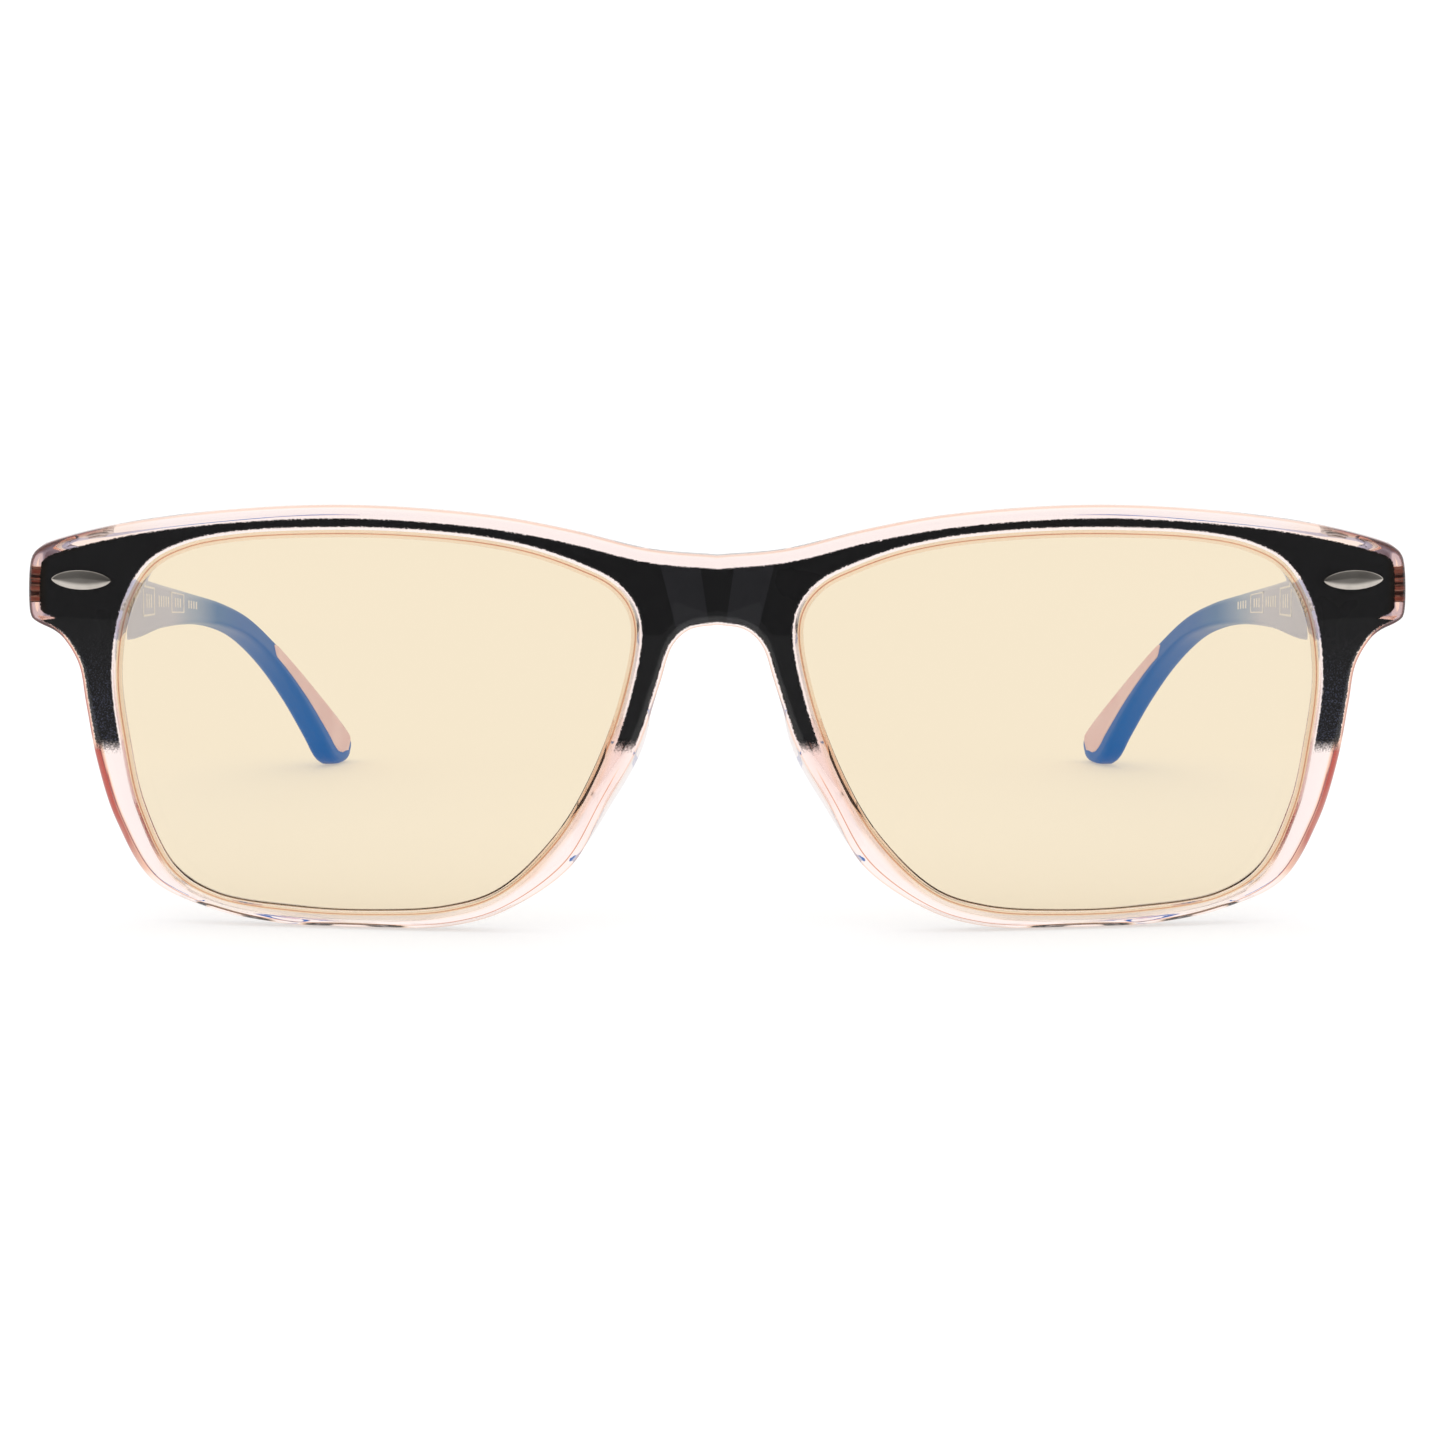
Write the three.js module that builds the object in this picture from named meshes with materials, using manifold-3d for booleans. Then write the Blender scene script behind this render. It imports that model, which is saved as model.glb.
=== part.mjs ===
// Blue-light glasses: a curved clear-pink plastic front with a black face layer, two lenses,
// and two blue temples that fold on three-knuckle barrel hinges.
// Millimetres. +X runs along the front, the front faces -Y, +Z is up, and the glasses stand on
// z = 0 on the two rims and the two temple tips. Right-hand pieces are on +X, left-hand on -X.
import * as THREE from 'three';
import { mergeVertices } from 'three/addons/utils/BufferGeometryUtils.js';
import Module from 'manifold-3d';

const wasm = await Module();
wasm.setup();

// ---- driving dimensions -------------------------------------------------------------------
const openingWidth = 51.8;        // clear lens opening, across
const openingHeight = 37.9;       // clear lens opening, up
const bridgeWidth = 17.2;         // between the two openings
const bottomRim = 1.7;            // rim height under the opening
const topRim = 3.2;               // rim height over the opening
const templeRim = 4.1;            // rim width on the temple side
const noseRim = 3.4;              // rim width on the nose side
const frontThickness = 4.2;       // along the surface normal
const frontRadius = 200;          // the front is bent onto a sphere of this radius
const endOverhang = 9.7;          // endpiece tip beyond the opening
const footCut = 0.08;             // ground off under the rims and tips, so that they stand flat
const endpieceHeight = 6.4;

const lensThickness = 2.0;
const lensSetback = 1.1;          // lens face behind the front's face
const grooveDepth = 0.8;          // how far the lens edge reaches into the rim
const lensClearance = 0.15;

const layerThickness = 0.3;       // black face layer, let into the face
const layerClearance = 0.1;
const layerEdge = 1.2;            // clear margin outside the layer, top and sides
const layerSideEdge = 0.4;        // clear margin along the nose and below the endpieces
const layerBevel = 1.05;          // clear margin around the openings
const layerBottom = 18.4;         // the black stops here

const studLength = 6.1;
const studHeight = 2.0;
const studFromEnd = 5.55;         // stud middle, inboard of the endpiece's end
const studThickness = 0.8;
const studProud = 0.45;
const studPinRadius = 0.45;
const studPinLength = 1.6;
const studPinSpacing = 2.6;
const studClearance = 0.15;

const hingeHeight = 33.9;         // middle of the hinge
const knuckleRadius = 1.7;
const knuckleLength = 1.6;        // each of the two outer knuckles
const middleKnuckle = 2.0;
const knuckleGap = 0.1;
const screwRadius = 0.6;
const screwClearance = 0.1;
const screwHeadRadius = 1.15;
const screwHeadHeight = 0.7;
const screwSlotWidth = 0.35;
const tangHeight = 3.6;
const tangThickness = 1.2;
const toothDepth = 0.25;
const toothCount = 4;
const pocketClearance = 0.15;
const frontTangWall = 0.7;        // plastic left outside the front tang
const leafGap = 0.3;              // between the front's rear face and the front leaf
const templeTangDrop = 0.4;       // the temple's tang sits this far below the hinge middle

const templeLength = 127.6;       // from the hinge butt to the tip, along Y
const templeButtTop = 3.7;        // above the hinge middle
const templeButtBottom = 3.6;     // below it
const templeThickness = 3.4;
const templeTipThickness = 2.6;
const buttGap = 0.3;              // between temple and endpiece when open
const templeKnuckleGap = 0.2;     // between the knuckles and the temple's inner face
const inwardSlope = 0.03;         // the temple leans in by this much at its butt
const inwardCurve = 0.00095;      // and curves in with the square of the distance
const templeTangLength = 12;

const padLength = 28;             // soft pad let into the tip's inner face
const padThickness = 0.9;
const padBorder = 0.75;           // blue edge left around the pad
const padClearance = 0.12;

const nosePadLength = 15;
const nosePadDepth = 6.4;
const nosePadWidth = 3.4;
const nosePadGap = 0.12;

// ---- sizes that follow --------------------------------------------------------------------
const halfBridge = bridgeWidth / 2;
const endX = halfBridge + openingWidth + endOverhang;
const openingTop = bottomRim + openingHeight;
const midHeight = bottomRim + openingHeight / 2;
const hingeAxisX = endX - 7.1;
const leafBottom = hingeHeight - middleKnuckle / 2 - knuckleGap - knuckleLength;
const leafTop = hingeHeight + middleKnuckle / 2 + knuckleGap + knuckleLength;

// Depth of the bent face behind its foremost point.
function sag(x, z) {
  return frontRadius - Math.sqrt(frontRadius ** 2 - x ** 2 - (z - midHeight) ** 2);
}

// Rear face of the endpiece: it leaves room for the hinge behind the bent front, to a whole mm.
const endpieceDepth = Math.ceil(sag(hingeAxisX + knuckleRadius, leafTop) + frontThickness
  + leafGap + tangThickness + knuckleRadius);
const hingeAxisY = endpieceDepth + buttGap / 2;
const templeFaceX = hingeAxisX + knuckleRadius + templeKnuckleGap;
const templeStartY = endpieceDepth + buttGap;
const templeEndY = templeStartY + templeLength;

// ---- solids and meshes --------------------------------------------------------------------
function toSolid(geometry) {
  const bare = geometry.clone();
  bare.deleteAttribute('normal');
  bare.deleteAttribute('uv');
  const merged = mergeVertices(bare, 1e-5);
  const mesh = new wasm.Mesh({
    numProp: 3,
    vertProperties: new Float32Array(merged.attributes.position.array),
    triVerts: new Uint32Array(merged.index.array),
  });
  return new wasm.Manifold(mesh);
}

function toNode(name, solid, material) {
  const mesh = solid.getMesh();
  const geometry = new THREE.BufferGeometry();
  geometry.setAttribute('position', new THREE.BufferAttribute(mesh.vertProperties, 3));
  geometry.setIndex(new THREE.BufferAttribute(mesh.triVerts, 1));
  geometry.computeVertexNormals();
  const node = new THREE.Mesh(geometry, material);
  node.name = name;
  return node;
}

function unite(solids) {
  return solids.reduce((sum, next) => sum.add(next));
}

function box(x0, x1, y0, y1, z0, z1) {
  const geometry = new THREE.BoxGeometry(x1 - x0, y1 - y0, z1 - z0);
  geometry.translate((x0 + x1) / 2, (y0 + y1) / 2, (z0 + z1) / 2);
  return toSolid(geometry);
}

// An upright cylinder.
function post(x, y, z0, z1, radius, sides = 20) {
  const geometry = new THREE.CylinderGeometry(radius, radius, z1 - z0, sides);
  geometry.rotateX(Math.PI / 2);
  geometry.translate(x, y, (z0 + z1) / 2);
  return toSolid(geometry);
}

// Outline in the front view (x, z), extruded along Y from y0 to y1.
function frontPrism(points, y0, y1) {
  const shape = new THREE.Shape(points.map(([x, z]) => new THREE.Vector2(x, z)));
  const geometry = new THREE.ExtrudeGeometry(shape, { depth: y1 - y0, bevelEnabled: false });
  geometry.rotateX(Math.PI / 2);
  geometry.translate(0, y1, 0);
  return toSolid(geometry);
}

// Outline in the front view, carried right through the glasses.
function through(points) {
  return frontPrism(points, -templeEndY, templeEndY);
}

// Outline in the side view (y, z), extruded along X from x0 to x1.
function sidePrism(points, x0, x1) {
  const shape = new THREE.Shape(points.map(([y, z]) => new THREE.Vector2(y, z)));
  const geometry = new THREE.ExtrudeGeometry(shape, { depth: x1 - x0, bevelEnabled: false });
  geometry.rotateX(Math.PI / 2);
  geometry.rotateZ(Math.PI / 2);
  geometry.translate(x0, 0, 0);
  return toSolid(geometry);
}

// Outline in the plan view (x, y), extruded along Z from z0 to z1.
function planPrism(points, z0, z1) {
  const shape = new THREE.Shape(points.map(([x, y]) => new THREE.Vector2(x, y)));
  const geometry = new THREE.ExtrudeGeometry(shape, { depth: z1 - z0, bevelEnabled: false });
  geometry.translate(0, 0, z0);
  return toSolid(geometry);
}

// ---- outlines -----------------------------------------------------------------------------
// A smooth closed or open curve through a few points.
function smooth(points, count, closed) {
  const curve = new THREE.CatmullRomCurve3(
    points.map(([a, b]) => new THREE.Vector3(a, b, 0)), closed, 'centripetal');
  const samples = curve.getSpacedPoints(count).map((p) => [p.x, p.y]);
  if (closed) samples.pop();
  return samples;
}

function distanceTo(points, x, y) {
  const target = new THREE.Vector3(x, y, 0);
  const nearest = new THREE.Vector3();
  const side = new THREE.Line3();
  return Math.min(...points.map(([x0, y0], i) => {
    const [x1, y1] = points[(i + 1) % points.length];
    side.set(new THREE.Vector3(x0, y0, 0), new THREE.Vector3(x1, y1, 0));
    return side.closestPointToPoint(target, true, nearest).distanceTo(target);
  }));
}

// Moves a closed outline outwards by distance, a number or a function of the point, and leaves
// out the points that a tight corner would fold over.
function offset(points, distance) {
  const turn = Math.sign(THREE.ShapeUtils.area(points.map(([x, y]) => new THREE.Vector2(x, y))));
  return points.map(([x, y], i) => {
    const before = points[(i + points.length - 1) % points.length];
    const after = points[(i + 1) % points.length];
    const dx = after[0] - before[0];
    const dy = after[1] - before[1];
    const step = typeof distance === 'function' ? distance(x, y) : distance;
    const shift = (step * turn) / Math.hypot(dx, dy);
    return [x + dy * shift, y - dx * shift, Math.abs(step)];
  }).filter(([x, y, step]) => distanceTo(points, x, y) > step * 0.93).map(([x, y]) => [x, y]);
}

// A place on the front: shares u, v of the opening's box, plus millimetres.
function onFront(u, v, dx, dz) {
  return [halfBridge + u * openingWidth + dx, bottomRim + v * openingHeight + dz];
}

// Edge of the clear opening on the +X side.
const openingShares = [
  [1, 0.63], [0.984, 0.43], [0.957, 0.265], [0.897, 0.103], [0.817, 0.035], [0.66, 0.005],
  [0.51, 0], [0.36, 0.016], [0.26, 0.064], [0.15, 0.21], [0.08, 0.374], [0.025, 0.576],
  [0, 0.76], [0.012, 0.825], [0.045, 0.875], [0.105, 0.915], [0.19, 0.955], [0.295, 0.983],
  [0.45, 1], [0.61, 1], [0.77, 0.985], [0.87, 0.955], [0.935, 0.905], [0.98, 0.8],
];
const opening = smooth(openingShares.map(([u, v]) => onFront(u, v, 0, 0)), 60, true);

// Outer edge of the +X half: over the brow, round the endpiece, under the rim, up the nose.
const endTop = hingeHeight + endpieceHeight / 2;
const endBottom = hingeHeight - endpieceHeight / 2;
const browEdge = smooth([
  onFront(0, 1, -halfBridge, -1.5),
  onFront(0, 1, -1.8, -0.9),
  onFront(0.12, 1, 0, topRim - 2.2),
  onFront(0.28, 1, 0, topRim - 0.8),
  onFront(0.53, 1, 0, topRim),
  onFront(0.75, 1, 0, topRim - 0.5),
  onFront(1, 1, -1, topRim - 2.1),
  [endX - 2.8, endTop + 1.6],
], 26, false);
const endEdge = [
  [endX - 1.2, endTop + 0.9],
  [endX - 0.35, endTop + 0.1],
  [endX, endTop - 1.2],
  [endX, endBottom + 0.6],
  [endX - 0.25, endBottom],
  [endX - 0.9, endBottom - 0.45],
  [endX - 2.6, endBottom - 1.2],
];
const lowerEdge = smooth([
  [endX - 3.6, endBottom - 2],
  onFront(1, 0.63, templeRim + 0.5, 0.6),
  onFront(0.99, 0.54, templeRim + 0.3, 0),
  onFront(0.975, 0.385, templeRim, 0),
  onFront(0.945, 0.22, templeRim - 0.4, 0),
  onFront(0.9, 0.08, templeRim - 1.7, -0.6),
  onFront(0.82, 0, 0, 0.55 - bottomRim * 0.55),
  onFront(0.69, 0, 0, 0.15 - bottomRim),
  onFront(0.62, 0, 0, -bottomRim - footCut),
  onFront(0.45, 0, 0, -bottomRim - footCut),
  onFront(0.34, 0, 0, 0.45 - bottomRim),
  onFront(0.27, 0.05, 2.2 - noseRim, -1.6),
  onFront(0.145, 0.2, 2 - noseRim, -2.6),
  onFront(0.08, 0.374, 1.9 - noseRim, -3),
  onFront(0.025, 0.576, 1.3 - noseRim, -4.4),
  onFront(0, 0.66, 0.6 - noseRim, -1.6),
  onFront(0, 0.72, -0.8 - noseRim, 0.2),
  onFront(0, 0.76, -halfBridge + 2.7, 0.2),
  onFront(0, 0.77, -halfBridge, 0.3),
], 72, false);
const halfOutline = [...browEdge, ...endEdge, ...lowerEdge];
const mirroredOutline = halfOutline.slice(1, -1).reverse().map(([x, z]) => [-x, z]);
const frontOutline = [...halfOutline, ...mirroredOutline];

function mirrorPoints(points) {
  return points.map(([x, z]) => [-x, z]).reverse();
}

// ---- the bent front -----------------------------------------------------------------------
const domeReach = Math.ceil(endX) + 11;

// Radial section of the front's sphere at a depth below the face, from the middle outwards.
function domeArc(depth, steps = 12) {
  const radius = frontRadius - depth;
  const reach = Math.asin(domeReach / frontRadius);
  return Array.from({ length: steps + 1 }, (_, i) => {
    const angle = (reach * i) / steps;
    return new THREE.Vector2(radius * Math.sin(angle), frontRadius - radius * Math.cos(angle));
  });
}

function turned(profile) {
  const geometry = new THREE.LatheGeometry(profile, 48);
  geometry.translate(0, 0, midHeight);
  const solid = toSolid(geometry);
  if (solid.volume() > 0) return solid;
  geometry.index.array.reverse();
  return toSolid(geometry);
}

// All that lies between two depths below the face.
function shell(depth0, depth1) {
  return turned([...domeArc(depth1), ...domeArc(depth0).reverse()]);
}

// All that lies deeper than a depth, back to a flat plane behind the glasses.
function behind(depth) {
  const arc = domeArc(depth);
  const rim = arc[arc.length - 1];
  return turned([...arc, new THREE.Vector2(rim.x, templeEndY), new THREE.Vector2(0, templeEndY)]);
}

// ---- hinge places -------------------------------------------------------------------------
const frontTangRear = hingeAxisY - knuckleRadius - 0.1;
const frontTangFront = frontTangRear - tangThickness;
const frontTangEnd = endX - frontTangWall;
const templeTangMid = templeFaceX + templeThickness / 2;
const templeTangEnd = templeStartY + templeTangLength;
const neckThickness = 1.4;

// A flat tang with shallow teeth across both faces; teeth are cut as slots along its length.
function frontTang(grow) {
  const half = tangHeight / 2 + grow;
  const plate = box(hingeAxisX, frontTangEnd + grow, frontTangFront - grow, frontTangRear + grow,
    hingeHeight - half, hingeHeight + half);
  if (grow > 0) return plate;
  const pitch = tangHeight / toothCount;
  const slots = Array.from({ length: toothCount - 1 }, (_, i) => {
    const z = hingeHeight - tangHeight / 2 + pitch * (i + 1);
    return box(hingeAxisX + knuckleRadius + 0.6, frontTangEnd + 1, frontTangFront - 1,
      frontTangFront + toothDepth, z - pitch / 4, z + pitch / 4);
  });
  return plate.subtract(unite(slots));
}

function templeTang(grow) {
  const half = tangHeight / 2 + grow;
  const inner = templeTangMid - tangThickness / 2 - grow;
  const outer = templeTangMid + tangThickness / 2 + grow;
  const middle = hingeHeight - templeTangDrop;
  const plate = box(inner, outer, templeStartY + (grow > 0 ? -1 : 0.1), templeTangEnd + grow,
    middle - half, middle + half);
  if (grow > 0) return plate;
  const pitch = templeTangLength / (toothCount * 2);
  const slots = Array.from({ length: toothCount * 2 - 2 }, (_, i) => {
    const y = templeStartY + pitch * (i + 1.5);
    return box(inner - 1, inner + toothDepth, y, y + pitch / 2, middle - tangHeight,
      middle + tangHeight);
  });
  return plate.subtract(unite(slots));
}

function templeNeck(grow) {
  const half = middleKnuckle / 2 + grow;
  return box(grow > 0 ? templeFaceX - 0.5 : hingeAxisX, templeTangMid,
    templeStartY + 0.1 - (grow > 0 ? 1 : 0), templeStartY + 0.1 + neckThickness + grow,
    hingeHeight - half, hingeHeight + half);
}

// ---- pieces of the +X side ----------------------------------------------------------------
function endpieceBlock() {
  const outline = [
    [hingeAxisX + knuckleRadius + 0.3, endBottom - 0.2],
    [endX - 0.9, endBottom - 0.2],
    [endX, endBottom + 0.6],
    [endX, endTop - 1.2],
    [endX - 1.2, endTop + 0.5],
    [hingeAxisX + knuckleRadius + 0.3, endTop + 0.5],
  ];
  return frontPrism(outline, 0, endpieceDepth).intersect(behind(0.4));
}

function studOutline(grow) {
  const half = studLength / 2 + grow;
  const rise = studHeight / 2 + grow;
  const radius = (half ** 2 + rise ** 2) / (2 * rise);
  const sweep = Math.asin(half / radius);
  const steps = 12;
  const arc = (sign) => Array.from({ length: steps }, (_, i) => {
    const angle = sign * (sweep - (2 * sweep * i) / steps);
    return [radius * Math.sin(angle), sign * (radius * Math.cos(angle) - radius + rise)];
  });
  return [...arc(1), ...arc(-1)];
}

// Puts a solid drawn at the origin, facing -Y, onto the face of the endpiece.
const studX = endX - studFromEnd;
const studZ = hingeHeight + 0.9;
function onEndpiece(solid) {
  const tilt = (Math.asin(studX / frontRadius) * 180) / Math.PI;
  return solid.rotate([0, 0, tilt]).translate([studX, sag(studX, studZ), studZ]);
}

function stud(grow) {
  const plate = frontPrism(studOutline(grow), -studProud - (grow > 0 ? 1 : 0),
    studThickness - studProud + grow);
  const pins = [-1, 1].map((side) => {
    const pin = new THREE.CylinderGeometry(studPinRadius + grow, studPinRadius + grow,
      studPinLength + grow, 16);
    pin.translate((side * studPinSpacing) / 2, (studPinLength + grow) / 2, 0);
    return toSolid(pin);
  });
  return onEndpiece(unite([plate, ...pins]));
}

function frontLeaf() {
  const bore = post(hingeAxisX, hingeAxisY, leafBottom - 1, leafTop + 1, screwRadius + screwClearance);
  const knuckles = [
    [leafBottom, leafBottom + knuckleLength],
    [leafTop - knuckleLength, leafTop],
  ].map(([z0, z1]) => post(hingeAxisX, hingeAxisY, z0, z1, knuckleRadius)
    .add(box(hingeAxisX - neckThickness / 2, hingeAxisX + knuckleRadius, frontTangFront, hingeAxisY,
      z0, z1)));
  const spine = box(hingeAxisX - neckThickness / 2, hingeAxisX + knuckleRadius + 0.1,
    frontTangFront, frontTangRear, leafBottom, leafTop);
  return unite([...knuckles, spine, frontTang(0)]).subtract(bore);
}

function templeLeaf() {
  const bore = post(hingeAxisX, hingeAxisY, leafBottom, leafTop, screwRadius + screwClearance);
  const knuckle = post(hingeAxisX, hingeAxisY, hingeHeight - middleKnuckle / 2,
    hingeHeight + middleKnuckle / 2, knuckleRadius);
  return unite([knuckle, templeNeck(0), templeTang(0)]).subtract(bore);
}

function hingeScrew() {
  const shank = post(hingeAxisX, hingeAxisY, leafBottom - 0.3, leafTop + 0.3, screwRadius, 16);
  const head = new THREE.CylinderGeometry(screwHeadRadius * 0.75, screwHeadRadius, screwHeadHeight, 20);
  head.rotateX(Math.PI / 2);
  head.translate(hingeAxisX, hingeAxisY, leafTop + 0.1 + screwHeadHeight / 2);
  const slotFloor = leafTop + 0.1 + screwHeadHeight * 0.5;
  const slot = box(hingeAxisX - 3, hingeAxisX + 3, hingeAxisY - screwSlotWidth / 2,
    hingeAxisY + screwSlotWidth / 2, slotFloor, slotFloor + 3);
  return shank.add(toSolid(head)).subtract(slot);
}

// Inner face of the temple in plan, at a depth into its thickness.
function templeX(y) {
  const run = y - templeStartY;
  return templeFaceX - inwardSlope * run - inwardCurve * run ** 2;
}
function templeDepth(y) {
  const share = (y - templeStartY) / templeLength;
  return templeThickness + (templeTipThickness - templeThickness) * share;
}
function templeSlab(inner, outer, y0, y1, steps = 22) {
  const ys = Array.from({ length: steps + 1 }, (_, i) => y0 + ((y1 - y0) * i) / steps);
  const outline = [
    ...ys.map((y) => [templeX(y) + outer(y), y]),
    ...ys.reverse().map((y) => [templeX(y) + inner(y), y]),
  ];
  return planPrism(outline, -10, openingTop + 10);
}

// Side outline of the temple: shares of the length, and heights above the table.
const alongTemple = (share, z) => [templeStartY + share * templeLength, z];
const templeTop = smooth([
  [0, hingeHeight + templeButtTop], [0.3, 30.85], [0.5, 26.7], [0.62, 24], [0.7, 21.4],
  [0.78, 17.4], [0.87, 12], [0.94, 7.2], [0.985, 3.9], [0.998, 2.3],
].map(([share, z]) => alongTemple(share, z)), 34, false);
const templeBottom = smooth([
  [1, 1.5], [0.995, 0.45], [0.98, -footCut], [0.962, -footCut], [0.944, 0.9], [0.919, 3.5], [0.86, 9.2],
  [0.79, 14.5], [0.71, 18.7], [0.62, 21.3], [0.52, 22.9], [0.4, 24], [0.26, 24.5], [0.12, 27.4],
  [0, hingeHeight - templeButtBottom],
].map(([share, z]) => alongTemple(share, z)), 48, false);

function heightAt(curve, y) {
  const i = curve.findIndex(([y0], k) => k > 0 && (y0 - y) * (curve[k - 1][0] - y) <= 0);
  const [[ya, za], [yb, zb]] = [curve[i - 1], curve[i]];
  return za + ((zb - za) * (y - ya)) / (yb - ya);
}

// Outline of the soft pad in the side view: it follows the temple's edges, and its pocket
// follows the pad, bigger all round by grow.
function padSide(grow) {
  const border = padBorder * 1.2;
  const steps = 26;
  const ys = Array.from({ length: steps + 1 }, (_, i) => templeEndY - padLength * (1 - i / steps));
  const inside = ys.filter((y) => y < templeEndY - 1
    && heightAt(templeTop, y) - heightAt(templeBottom, y) > 2 * border + 0.3);
  const last = inside.length - 1;
  const place = (i) => inside[i] + (i === 0 ? -grow : 0) + (i === last ? grow : 0);
  const outline = [
    ...inside.map((y, i) => [place(i), heightAt(templeTop, y) - border + grow]),
    ...inside.map((y, i) => [place(i), heightAt(templeBottom, y) + border - grow]).reverse(),
  ];
  return sidePrism(outline, 0, endX + 10);
}

function templeArm() {
  const body = sidePrism([...templeTop, ...templeBottom], 0, endX + 10)
    .intersect(templeSlab(() => 0, templeDepth, templeStartY, templeEndY + 1))
    .trimByPlane([0, 0, 1], 0);
  return body
    .subtract(templeTang(pocketClearance))
    .subtract(templeNeck(pocketClearance))
    .subtract(padSide(padClearance).intersect(
      templeSlab(() => -3, () => padThickness + padClearance, templeEndY - padLength - 5, templeEndY + 1)));
}

function tipPad() {
  return padSide(0).intersect(
    templeSlab(() => -0.1, () => padThickness, templeEndY - padLength - 5, templeEndY + 1));
}

function nosePad() {
  const pad = new THREE.SphereGeometry(1, 20, 12);
  pad.scale(nosePadWidth / 2, nosePadDepth / 2, nosePadLength / 2);
  pad.rotateY(-0.45);
  const [x, z] = onFront(0.09, 0.33, -1, 0);
  pad.rotateZ(0.35);
  pad.translate(x, sag(x, z) + frontThickness + nosePadDepth * 0.22, z);
  return toSolid(pad).intersect(behind(frontThickness + nosePadGap));
}

function lens() {
  return through(offset(opening, grooveDepth))
    .intersect(shell(lensSetback, lensSetback + lensThickness));
}

// ---- the front ----------------------------------------------------------------------------
function layerMargin(x, z) {
  const underBridge = Math.abs(x) < halfBridge + noseRim && z < bottomRim + openingHeight * 0.85;
  return underBridge || z < endBottom ? -layerSideEdge : -layerEdge;
}
function faceLayer(grow, depth0, depth1) {
  const outer = offset(frontOutline, (x, z) => layerMargin(x, z) + grow);
  const hole = offset(opening, layerBevel - grow);
  return through(outer)
    .subtract(through(hole))
    .subtract(through(mirrorPoints(hole)))
    .trimByPlane([0, 0, 1], layerBottom - grow)
    .intersect(shell(depth0, depth1));
}

function bothSides(solid) {
  return solid.add(solid.mirror([1, 0, 0]));
}

function frontFrame() {
  const plate = through(frontOutline)
    .intersect(shell(0, frontThickness))
    .trimByPlane([0, 0, 1], 0);
  const groove = through(offset(opening, grooveDepth + lensClearance))
    .intersect(shell(lensSetback - lensClearance, lensSetback + lensThickness + lensClearance));
  const cuts = [
    through(opening), groove, frontTang(pocketClearance), stud(studClearance),
  ];
  return plate
    .add(bothSides(endpieceBlock()))
    .subtract(bothSides(unite(cuts)))
    .subtract(faceLayer(layerClearance, -2, layerThickness + layerClearance));
}

// ---- materials ----------------------------------------------------------------------------
function plastic(color, roughness, opacity = 1) {
  return new THREE.MeshStandardMaterial({
    color, roughness, metalness: 0, opacity, transparent: opacity < 1,
  });
}
function metal(color, roughness) {
  return new THREE.MeshStandardMaterial({ color, roughness, metalness: 1 });
}
const clearPink = plastic(0xf6d8d0, 0.08, 0.45);
const blackFace = plastic(0x1d1e24, 0.22);
const amberLens = plastic(0xf7ead0, 0.03, 0.4);
const bluePlastic = plastic(0x3473c0, 0.3);
const pinkPad = plastic(0xe4c6c6, 0.7);
const polishedSteel = metal(0xd8d0c8, 0.15);
const hingeMetal = metal(0xb9babd, 0.3);

// ---- assembly -----------------------------------------------------------------------------
const glasses = new THREE.Group();
glasses.add(toNode('front_frame', frontFrame(), clearPink));
glasses.add(toNode('front_face_layer',
  faceLayer(0, 0, layerThickness).subtract(bothSides(stud(studClearance))), blackFace));

const pairs = [
  ['lens', lens(), amberLens],
  ['nose_pad', nosePad(), clearPink],
  ['accent_stud', stud(0), polishedSteel],
  ['hinge_front_leaf', frontLeaf(), hingeMetal],
  ['hinge_screw', hingeScrew(), hingeMetal],
  ['hinge_temple_leaf', templeLeaf(), hingeMetal],
  ['temple_arm', templeArm(), bluePlastic],
  ['temple_tip_pad', tipPad(), pinkPad],
];
for (const [name, solid, material] of pairs) {
  glasses.add(toNode(`${name}_right`, solid, material));
  glasses.add(toNode(`${name}_left`, solid.mirror([1, 0, 0]), material));
}

// The origin is under the middle of the whole, on the table.
const bounds = new THREE.Box3().setFromObject(glasses);
const middle = bounds.getCenter(new THREE.Vector3());
glasses.position.set(-middle.x, -middle.y, -bounds.min.z);
glasses.updateMatrixWorld(true);

export default glasses;
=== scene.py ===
"""A pair of blue-light glasses: clear pink front with a black face, amber lenses, blue temples.

Sizes are in millimetres until a mesh is made, which is in metres. The y of a size is measured
from the middle of the front's face; SHIFT takes it into the frame of the whole part.
"""
import math

import bmesh
import bpy
import numpy as np
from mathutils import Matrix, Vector


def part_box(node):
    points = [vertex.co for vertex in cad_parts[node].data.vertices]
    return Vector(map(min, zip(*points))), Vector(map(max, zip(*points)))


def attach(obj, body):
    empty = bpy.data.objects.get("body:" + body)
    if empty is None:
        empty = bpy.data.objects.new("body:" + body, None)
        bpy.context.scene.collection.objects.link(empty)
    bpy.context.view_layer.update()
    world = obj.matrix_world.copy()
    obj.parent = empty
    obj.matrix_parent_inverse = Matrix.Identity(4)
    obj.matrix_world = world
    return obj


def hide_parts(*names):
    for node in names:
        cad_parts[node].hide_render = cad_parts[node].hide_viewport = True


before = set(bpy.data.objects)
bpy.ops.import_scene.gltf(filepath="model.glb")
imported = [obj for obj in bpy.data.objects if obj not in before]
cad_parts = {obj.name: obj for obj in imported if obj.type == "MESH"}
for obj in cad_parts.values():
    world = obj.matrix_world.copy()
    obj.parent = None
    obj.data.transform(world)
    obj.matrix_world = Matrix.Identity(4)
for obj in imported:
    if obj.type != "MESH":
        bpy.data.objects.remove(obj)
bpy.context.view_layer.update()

# ---- sizes, as in the solid model ----
MM = 0.001
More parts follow.
